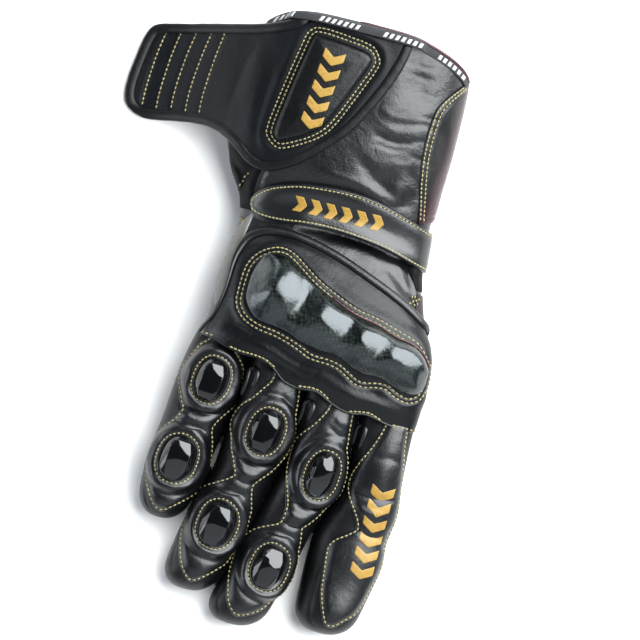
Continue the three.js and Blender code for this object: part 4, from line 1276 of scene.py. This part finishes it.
panel.reliefs += [
    guard_bed,
    crease([(4, -25), (20, -30.5), (36, -32), (50, -33.4), (57, -32)], 4.5, 1.2),
    crease([(-46, -18), (-36, -19), (-24, -20.5), (-10, -25), (6, -27.5)], 3.0, 0.8),
    crease([(12, -29), (26, -33), (40, -33), (56, -34)], 3.4, 0.5),
    crease([(-44, -17), (-40, -14), (-30, -16)], 1.6, -0.5),
    crease([(-20, -23), (-12, -26.5), (-4, -29)], 1.5, -0.6),
    crease([(-44, 27), (-30, 32.5), (-14, 31), (4, 25)], 2.0, 0.4),
]
guard_outline = panel.seat(guard_rows)
outer_row = smooth_line(GUARD_STITCHES, 1.0, closed=True)
sewn_rows = [panel.seat(row) for row in (outer_row, grow(outer_row, -2.15))]
sewn_ground = [hand.point(row)[:, :2] for row in sewn_rows]
panel.reliefs.append(grooves(sewn_ground, 0.5, 0.65))
guides = [grow(row, step) for row in sewn_ground for step in (-0.6, 0.0, 0.6)]
lay("knuckle_panel_skin", panel, 0.85, KNUCKLES, ["knuckle_panel"], guides=guides)
for row in sewn_rows:
    sew(cream, panel, row[::4], closed=True, uv=True, pitch=2.35)
for row in ROOT_STITCHES:
    sew(cream, panel, row, pitch=2.1, extra=0.1)

piping = Heap()
pipe_start = [(-56, -22), (-53.8, -17), (-50.9, -10), (-49.2, 0), (-48.6, 8)]
pipe_line = smooth_line([*pipe_start, *PIPING[:-1], (55, 5.5)], 1.0)
places, normals = hand.place(hand.to_uv(pipe_line), 1.45)
full = smoothstep(6, 30, pipe_line[:, 1] + 1.6 * np.maximum(pipe_line[:, 0] + 46, 0))
roll(piping, places, normals, 0.9 + 1.25 * full, 1.0 + 0.6 * full, sides=16, taper=4)
piping.piece("knuckle_piping_roll", ROLLED, nodes=["knuckle_piping"], slot="panel_leather")
root_roll = Heap()
roll_line = root_seam[(root_seam[:, 0] > -59) & (root_seam[:, 0] < 59.5)] + np.array([0, 0.5])
roll(root_roll, *panel.place(hand.to_uv(roll_line), -0.45), 0.75, 0.8, sides=10, taper=2)
root_roll.piece("root_seam_roll", ROLLED, slot="panel_leather")

guard = Patch(panel, guard_outline, 0.9, edge=0.7, wrapped=True)
guard_lower = smooth_line(GUARD_OUTLINE[GUARD_LOWER_PART:] + GUARD_OUTLINE[:3], 1.5)
guard_upper = smooth_line(GUARD_OUTLINE[:GUARD_LOWER_PART + 1], 1.5)


def guard_form(xy):
    """Bumps with a long right-hand side each, cut by a broad flat facet along the lower edge."""
    total = np.full(len(xy), GUARD_LEVEL)
    for x, y, left, right, across, height, roundness in GUARD_BUMPS:
        p, q = turned(xy, x, y, GUARD_TURN)
        out = np.sqrt((p / np.where(p > 0, right, left)) ** 2 + (q / across) ** 2 + 0.03) - 0.173
        fall = (1 - roundness) * out + roundness * out**2
        total = smooth_max(total, GUARD_LEVEL + height * np.maximum(1 - fall, 0), 2.0)
    low, _ = line_distance(xy, guard_lower)
    high, _ = line_distance(xy, guard_upper)
    upper_slope = 1.5 + 1.2 * smoothstep(-26, -34, xy[:, 0])
    return smooth_min(smooth_min(0.72 * low, upper_slope * high, 1.0), total, 1.6)


guard.reliefs.append(guard_form)
lay("knuckle_guard_shell", guard, 0.75, CARBON, ["knuckle_guard"], "guard_shell", rings=(0.25, 0.6, 1.1))
rim = Heap()
rim_line = guard_rows[(guard_rows[:, 0] > 2) & (guard_rows[:, 1] > -12 - 0.1 * guard_rows[:, 0])]
rim_line = rim_line[np.argsort(rim_line[:, 0])]
rim_line = rim_line[rim_line[:, 0] < 57]
roll(rim, *panel.place(panel.to_uv(rim_line), 0.35), 0.5, 0.45, sides=8, taper=3)
rim.piece("guard_rim_lining", MAROON, slot="panel_leather")

# The wrist strap, which wraps down the thumb's side
strap_top, strap_bottom = (cuff.to_uv(smooth_line(side, 1.5)) for side in (STRAP_TOP, STRAP_BOTTOM))
strap_end = strap_top[-1, 0] + 16
strap_side = [(strap_end, 54.0), (strap_end, 36.5)]
strap_middle = smooth_line([(-48, 47), (-30, 52), (-10, 55.2), (10, 54.8), (28, 50.5), (44, 45.5)], 2.0)


def strap_stand_off(xy):
    """The strap's lower edge stands away from the wrist, most of all towards the thumb."""
    share = (line_y(strap_middle, xy[:, 0]) - xy[:, 1]) / 10
    below, above = np.clip(share, 0, 1), np.clip(-share, 0, 1)
    reach = smoothstep(-44, -20, xy[:, 0]) * (1 - smoothstep(16, 43, xy[:, 0]))
    return reach * (2.6 * below**1.6 + 0.7 * above**2)


plain_wrist = Loft(HAND_COLUMNS, HAND_ROWS, HAND_POWER, reference=100)
strap = Patch(
    plain_wrist, np.vstack([strap_top, strap_side, strap_bottom]), 2.2, edge=0.9, lift=0.25, wrapped=True,
    raised=strap_stand_off, hollows=[(1.5, 0.6, 0.4)], swelling=(2.0, 5.0, 0.35)
)
rings = (0.3, 0.9, 1.5, 2.1)
lay("wrist_strap_skin", strap, 0.8, STRAP_SKIN, ["wrist_strap"], "strap_leather", rings=rings)
sew(cream, strap, grow(resample(strap.outline, 1.0), -1.5)[::3], closed=True, uv=True)

# The double-sewn panel on the cuff's thumb side
SIDE_ROWS = (1.1, 3.4)
seam_uv = cuff.to_uv(smooth_line(SIDE_SEAM, 1.5))
side_edge = seam_uv[:, 0].max() + 17
side_turn = [(side_edge, y) for y in (131.0, 110.0, 88.0, 66.0)]
side_outline = np.vstack([seam_uv[::-1][1:], side_turn])[::-1]
side_hollows = [(offset, 0.6, 0.35) for offset in SIDE_ROWS]
cuff_side = Patch(cuff, side_outline, PANEL, edge=0.9, wrapped=True, hollows=side_hollows)
# Its maroon low down is a painted reddish reflection.
lay("cuff_side_skin", cuff_side, 0.9, REDDISH_REFLECTION_LEATHER, ["cuff_side_panel"])
seam_rows = smooth_line(SIDE_SEAM[1:-1], 1.0)
for offset in SIDE_ROWS:
    row = cuff.to_uv(seam_rows) + np.array([[offset, 0.0]])
    sew(cream, cuff_side, row[::3], uv=True, pitch=2.2)

# The tape at the cuff's mouth
TAPE_STEPS = 240
TAPE_PROFILE = [
    (-HEM_WIDTH, 0.05), (-HEM_WIDTH, 0.75), (-HEM_WIDTH + 0.3, 1.0), (-1.4, 1.05), (-0.8, 1.03),
    (-0.2, 0.95), (0.6, 0.4), (0.9, -0.6), (0.8, -1.6), (0.3, -2.5), (-0.6, -2.9),
    (-3.4, -2.9), (-3.6, -2.2), (-1.5, -1.9), (-0.2, -1.0), (-0.3, 0.0),
]
tape_angles = np.linspace(0, math.tau, TAPE_STEPS, endpoint=False) + 0.01
mouth_y = np.full(TAPE_STEPS, 140.0)
for _ in range(4):
    mouth_x = cuff.bare(tape_angles, mouth_y)[:, 0]
    mouth_y = hem_seam(mouth_x)


def tape_point(angle, mouth, along, out):
    """A place on the tape: along is measured from the mouth and out from the cuff's face."""
    along, out = np.full(len(angle), along), np.full(len(angle), out)
    x = cuff.bare(angle, mouth + along)[..., 0]
    over_flap = smoothstep(-56, -47, x) * (1 - smoothstep(11, 17, x)) * smoothstep(0.3, 0.7, np.sin(angle))
    lifted = np.where(out > 0, out + 5.4 * over_flap * smoothstep(1.5, -1.0, along), out)
    return cuff.bare(angle, mouth + along, inset=-lifted)


tape_verts = np.stack([tape_point(tape_angles, mouth_y, along, out) for along, out in TAPE_PROFILE], axis=1)
tape_verts[..., 2] = np.maximum(tape_verts[..., 2], 0.0)
tape_faces = tube_faces(TAPE_STEPS, len(TAPE_PROFILE), closed=True, capped=False)
make_piece("hem_tape_band", tape_verts.reshape(-1, 3), tape_faces, TAPE, ["cuff_hem_tape"], "hem_tape")

upward = np.sin(tape_angles) > 0.05
order = np.argsort(mouth_x[upward])
upper_x, upper_angle, upper_y = (values[upward][order] for values in (mouth_x, tape_angles, mouth_y))
# Each dash is a slanted block of two layers, three points wide and five long.
dash_faces = []
for a in (0, 1, 3, 4, 6, 7, 9, 10):
    dash_faces += [[a, a + 1, a + 4, a + 3], [a + 18, a + 19, a + 16, a + 15]]
dash_rim = [0, 1, 2, 5, 8, 11, 14, 13, 12, 9, 6, 3]
dash_faces += [[b, a, a + 15, b + 15] for a, b in zip(dash_rim, dash_rim[1:] + dash_rim[:1])]
tape_prints = Heap()
for start, end in HEM_PRINTS:
    for left in np.arange(start, end, 2.7):
        grid = [(a, b) for b in np.linspace(0, 1, 5) for a in (0, 0.5, 1)]
        cells = [(left + 1.5 * a + 0.9 * b, -0.9 - 2.5 * (1 - b)) for a, b in grid]
        x, along = np.array(cells).T
        angle, mouth = np.interp(x, upper_x, upper_angle), np.interp(x, upper_x, upper_y)
        layers = [tape_point(angle, mouth, along, out) for out in (1.13, 0.83)]
        tape_prints.add(np.vstack(layers), dash_faces)
tape_prints.piece("hem_tape_dashes", WHITE, slot="hem_tape")
lining = Heap()
shown = (upper_x > -20) & (upper_x < 41)
edge_line = tape_point(upper_angle[shown], upper_y[shown], 0.75, 0.9)
roll(lining, edge_line, np.tile([0.0, 0.0, 1.0], (len(edge_line), 1)), 0.75, 0.6, sides=8, taper=3)
lining.piece("mouth_lining_edge", MAROON, slot="hem_tape")


def side_patch(name, host, line, reach, thickness, edge, spacing, material, narrowed=False):
    """Leather from a line on the back down the side; reach is below zero on the little finger's side."""
    inner = host.to_uv(smooth_line(line, 1.5))
    share = np.linspace(0, 1, len(inner))
    full = np.clip(np.minimum(share, 1 - share) / 0.28, 0.06, 1) ** (0.7 if narrowed else 0)
    outline = np.vstack([inner, (inner + np.outer(full, [reach, 0.0]))[::-1]])
    patch = Patch(host, outline if reach < 0 else outline[::-1], thickness, edge=edge, wrapped=True)
    lay(name, patch, spacing, material, slot="shell_leather")
    return patch


# A pale strip on the hand's side, a painted highlight for its lit flank; darker matt leather as painted
# shade, and maroon leather, in the hollows of the wrist
ulnar_line = [(-45.5, 43.5), (-46.8, 34), (-47.8, 26), (-48.4, 14), (-49.4, 2), (-51.8, -7)]
side_patch("ulnar_highlight_strip", hand, ulnar_line, -11, 1.0, 2.2, 1.1, HIGHLIGHT_LEATHER, narrowed=True)
# Painted shade: darker matt leather over the wrist's hollow on the little finger's side
wrist_line = [(-47, 44), (-48.5, 52), (-48, 62), (-46, 72), (-50, 84)]
wrist_shade_gusset = side_patch("wrist_side_shade_gusset", cuff, wrist_line, -26, 0.7, 0.8, 1.0, SHADE_MATT)
# Painted shade: darker matt leather below the strap's end on the thumb's side
shade_line = [(29, 41.5), (34.5, 36.8), (39.5, 31), (42.6, 26.4)]
side_patch("wrist_thumb_shade_gusset", hand, shade_line, 15, 0.5, 0.6, 1.0, SHADE_MATT)
thumb_line = [(43.4, 25), (43.6, 21), (45.2, 16.5), (48.2, 12.4), (51, 9.4)]
side_patch("thumb_side_gusset", hand, thumb_line, 9, 0.7, 0.6, 1.1, DEEP_MAROON)

# The closure flap
flap_folds = [
    crease([(-73, 128), (-75, 112), (-76, 98), (-75, 86)], 4.5, 0.5),
    crease([(-66, 130), (-68, 112), (-68, 98), (-66, 90)], 3.4, -0.8),
    crease([(-60, 122), (-61, 108), (-60, 92), (-57, 78)], 4.0, 0.9),
    crease([(-53, 112), (-54, 100), (-54, 88), (-51, 76)], 2.6, -0.6),
    crease([(-50, 74), (-44, 73), (-34, 77), (-26, 84)], 2.0, 0.5),
]
flap_ground = FlapGround(cuff, flap_folds)
flap_loop = np.vstack([smooth_line(FLAP_EDGE, 1.0), [(-42, 150), (11, 150)]])
flap_outline = grow(resample(flap_loop, 1.5), -BINDING_HALF - 0.9)
x, y = flap_outline.T
flap_outline[:, 1] = np.where(x > -52, np.minimum(y, hem_seam(x) - 2.2), y)
pad_line = smooth_line(PAD_OUTLINE, 1.0, closed=True)
pad_rows = [grow(pad_line, offset) for offset in (1.5, 3.6)]
flap = Patch(flap_ground, flap_outline, FLAP)
flap.reliefs += [
    grooves([smooth_line(row, 2.0) for row in QUILT_ROWS], 0.5, 1.2, closed=False),
    grooves(pad_rows, 0.4, 0.65),
    grooves([grow(pad_rows[1], 3.2)], -0.6, 2.0),
]
flap_piece = lay("closure_flap_skin", flap, 1.15, FLAP_SKIN, ["closure_flap"])
for row in QUILT_ROWS:
    sew(cream, flap, row, pitch=2.36)
for row in pad_rows:
    sew(cream, flap, row[::4], closed=True, pitch=2.2)

binding = Heap()
bind_line = smooth_line([(11.0, 146.5), *FLAP_EDGE], 1.2)
bind_loop = grow(np.vstack([bind_line, [(-20, 190)]]), -BINDING_HALF)[1:-2]
places, normals = flap_ground.place(bind_loop, 1.9)
places[:, 2] = np.maximum(places[:, 2], 1.9)
swell = 1 + 0.04 * lumps(*bind_loop.T, 9, 5)
roll(binding, places, normals, BINDING_HALF * swell, 1.9 * swell, sides=24, taper=4, power=2.6)
binding.piece("flap_binding_roll", BOUND, nodes=["flap_binding"], slot="panel_leather")

pad = Patch(flap, pad_line, PAD_HEIGHT, edge=2.6, swelling=(2.0, 9.0, 0.7))
pad_piece = lay("wrist_bone_pad_skin", pad, 1.0, PAD_SKIN, ["wrist_bone_pad"], rings=(0.3, 0.8, 1.5))

# Folded leather between the finger roots: finger, x, top, bottom and half width of each pleat
PLEATS = [
    ("ring", -24.8, -30.8, -47.0, 2.2),
    ("middle", 6.2, -39.6, -55.5, 2.3),
    ("index", 34.6, -44.5, -62.0, 2.2),
]
pleats = Heap()
for name, x, top, bottom, half in PLEATS:
    finger = fingers[name]
    finger.reliefs.append(crease([(x, top - 1), (x, bottom)], half * 0.8, -2.2, taper=False))
    waist = (top + bottom) / 2
    left = [(x - half - 0.9, bottom), (x - half, waist), (x - half * 0.9, top - 2), (x, top)]
    right = [(x + half * 0.9, top - 2), (x + half, waist + 2), (x + half * 0.5, bottom + 4)]
    loop = smooth_line(left + right, 0.8)
    roll(pleats, *finger.place(finger.to_uv(loop), 0.5), 1.25, 1.5, taper=4)
pleats.piece("finger_pleats", BACK, slot="shell_leather")

# Dark leather low between neighbouring fingers, which closes the gaps that the photo shows closed
WEBS = [
    [(-28.4, -20), (-29.0, -40), (-30.3, -55), (-32.1, -69)],
    [(-33.8, -85), (-35.2, -92), (-36.4, -97)],
    [(1.3, -28), (1.6, -40), (2.9, -55), (2.4, -70), (-1.9, -85), (-5.6, -100), (-8.6, -112), (-11.5, -125),
     (-16.6, -142)],
    [(30.6, -34), (31.0, -45), (31.7, -55), (32.3, -70), (30.3, -85), (25.0, -99), (23.6, -104)],
]
webs = Heap()
for points in WEBS:
    line = smooth_line(points, 2.0)
    centre = np.column_stack([line, np.full(len(line), 9.0)])
    roll(webs, centre, np.tile([0.0, 0.0, 1.0], (len(line), 1)), 1.6, 4.0, sides=10, taper=2)
webs.piece("finger_webs", SIDE, slot="shell_leather")

sew(cream, wrist_shade_gusset, [(-53.5, 62), (-55.4, 58), (-56.4, 53)], extra=0.1)
for row in [[(-51.6, 39.6), (-49.4, 38)], [(-51.2, 38.2), (-49.2, 36.8)]]:
    sew(cream, cuff, row, extra=0.4)
for row in [[(41.2, 22.4), (43.2, 19)], [(42.6, 23), (44.4, 19.8)], [(41, 19.4), (44.6, 22.4)]]:
    sew(cream, hand, row, pitch=1.6, extra=0.9)
cream.piece("cream_stitches", THREAD, slot="panel_leather")


def chevrons(name, host, start, end, count, width, thickness):
    """A printed row of arrowheads pointing from start to end."""
    start, end = np.array(start, float), np.array(end, float)
    reach = np.linalg.norm(end - start)
    along = (end - start) / reach
    side = np.array([-along[1], along[0]]) * width / 2
    nose, thick = along * width * 0.32, along * thickness
    heap = Heap()
    for i in range(count):
        tail = start + along * reach / count * i
        front = [tail + side, tail + nose, tail - side]
        shape = front + [corner + thick for corner in front[::-1]]
        mark = Patch(host, np.array(shape), 0.07, edge=0.15)
        heap.add(*mark.mesh(0.9, rings=(0.2,), sink=0.05))
    heap.piece(name, GOLD, slot="panel_leather")


chevrons("pad_chevrons", pad, (-26.6, 132), (-29.6, 91), 5, 10.5, 4.6)
chevrons("strap_chevrons", strap, (-27.5, 54), (19, 55), 6, 8.0, 4.2)
chevrons("index_chevrons", backs["index"], (52, -71.5), (52, -120), 6, 10.5, 4.6)

# Camera
CAMERA_HEIGHT = 12.0
SHARP_HEIGHT = 0.035
PHOTO_WIDTH = 0.320
PHOTO_TURN = 15
camera_data = bpy.data.cameras.new("camera")
camera_data.sensor_width = 36
camera_data.lens = 36 * (CAMERA_HEIGHT - SHARP_HEIGHT) / PHOTO_WIDTH
camera_data.clip_end = 40
camera = bpy.data.objects.new("camera", camera_data)
camera.location = (PLAN_SHIFT[0] * MM, PLAN_SHIFT[1] * MM, CAMERA_HEIGHT)
camera.rotation_euler = (0, 0, math.radians(PHOTO_TURN))
bpy.context.scene.collection.objects.link(camera)
bpy.context.scene.camera = camera

# Floor and light
floor_mesh = bpy.data.meshes.new("floor")
floor_mesh.from_pydata([(-4, -4, 0), (4, -4, 0), (4, 4, 0), (-4, 4, 0)], [], [(0, 1, 2, 3)])
floor = bpy.data.objects.new("floor", floor_mesh)
floor_paint = bpy.data.materials.new("floor_paint")
floor_paint.use_nodes = True
floor_paint.node_tree.nodes["Principled BSDF"].inputs["Base Color"].default_value = (0.83, 0.81, 0.79, 1)
floor_paint.node_tree.nodes["Principled BSDF"].inputs["Roughness"].default_value = 0.9
floor_mesh.materials.append(floor_paint)
bpy.context.scene.collection.objects.link(floor)

world = bpy.data.worlds.new("studio")
world.use_nodes = True
tree = world.node_tree
sky = tree.nodes["Background"]
sky_direction = tree.nodes.new("ShaderNodeTexCoord")
sky_parts = tree.nodes.new("ShaderNodeSeparateXYZ")
sky_ramp = tree.nodes.new("ShaderNodeValToRGB")
tree.links.new(sky_direction.outputs["Generated"], sky_parts.inputs["Vector"])
tree.links.new(sky_parts.outputs["Z"], sky_ramp.inputs["Fac"])
tree.links.new(sky_ramp.outputs["Color"], sky.inputs["Color"])
sky_ramp.color_ramp.elements[0].position = 0.45
sky_ramp.color_ramp.elements[0].color = (0.40, 0.48, 0.58, 1)
sky_ramp.color_ramp.elements[1].position = 0.88
sky_ramp.color_ramp.elements[1].color = (0.055, 0.075, 0.10, 1)
sky.inputs["Strength"].default_value = 0.7
bpy.context.scene.world = world
bpy.context.scene.view_settings.view_transform = "Standard"


def softbox(name, place, aim, size, power, color):
    light = bpy.data.lights.new(name, "AREA")
    light.color = color
    light.shape = "RECTANGLE"
    light.size, light.size_y = size
    light.energy = power
    lamp = bpy.data.objects.new(name, light)
    lamp.location = place
    direction = Vector(aim) - Vector(place)
    lamp.rotation_euler = direction.to_track_quat("-Z", "Y").to_euler()
    bpy.context.scene.collection.objects.link(lamp)


softbox("left_box", (-1.62, -0.44, 0.62), (0, 0, 0.02), (1.0, 1.0), 17, (0.90, 0.95, 1.0))
softbox("right_box", (0.95, 0.70, 1.34), (0, 0, 0.02), (2.0, 2.2), 172, (0.945, 0.985, 1.0))
softbox("front_box", (0.45, -1.45, 1.10), (0, 0, 0.02), (2.8, 1.6), 15, (0.92, 0.96, 1.0))
softbox("back_box", (-0.95, 1.25, 0.40), (0, 0, 0.02), (0.8, 0.22), 3, (0.95, 0.98, 1.0))
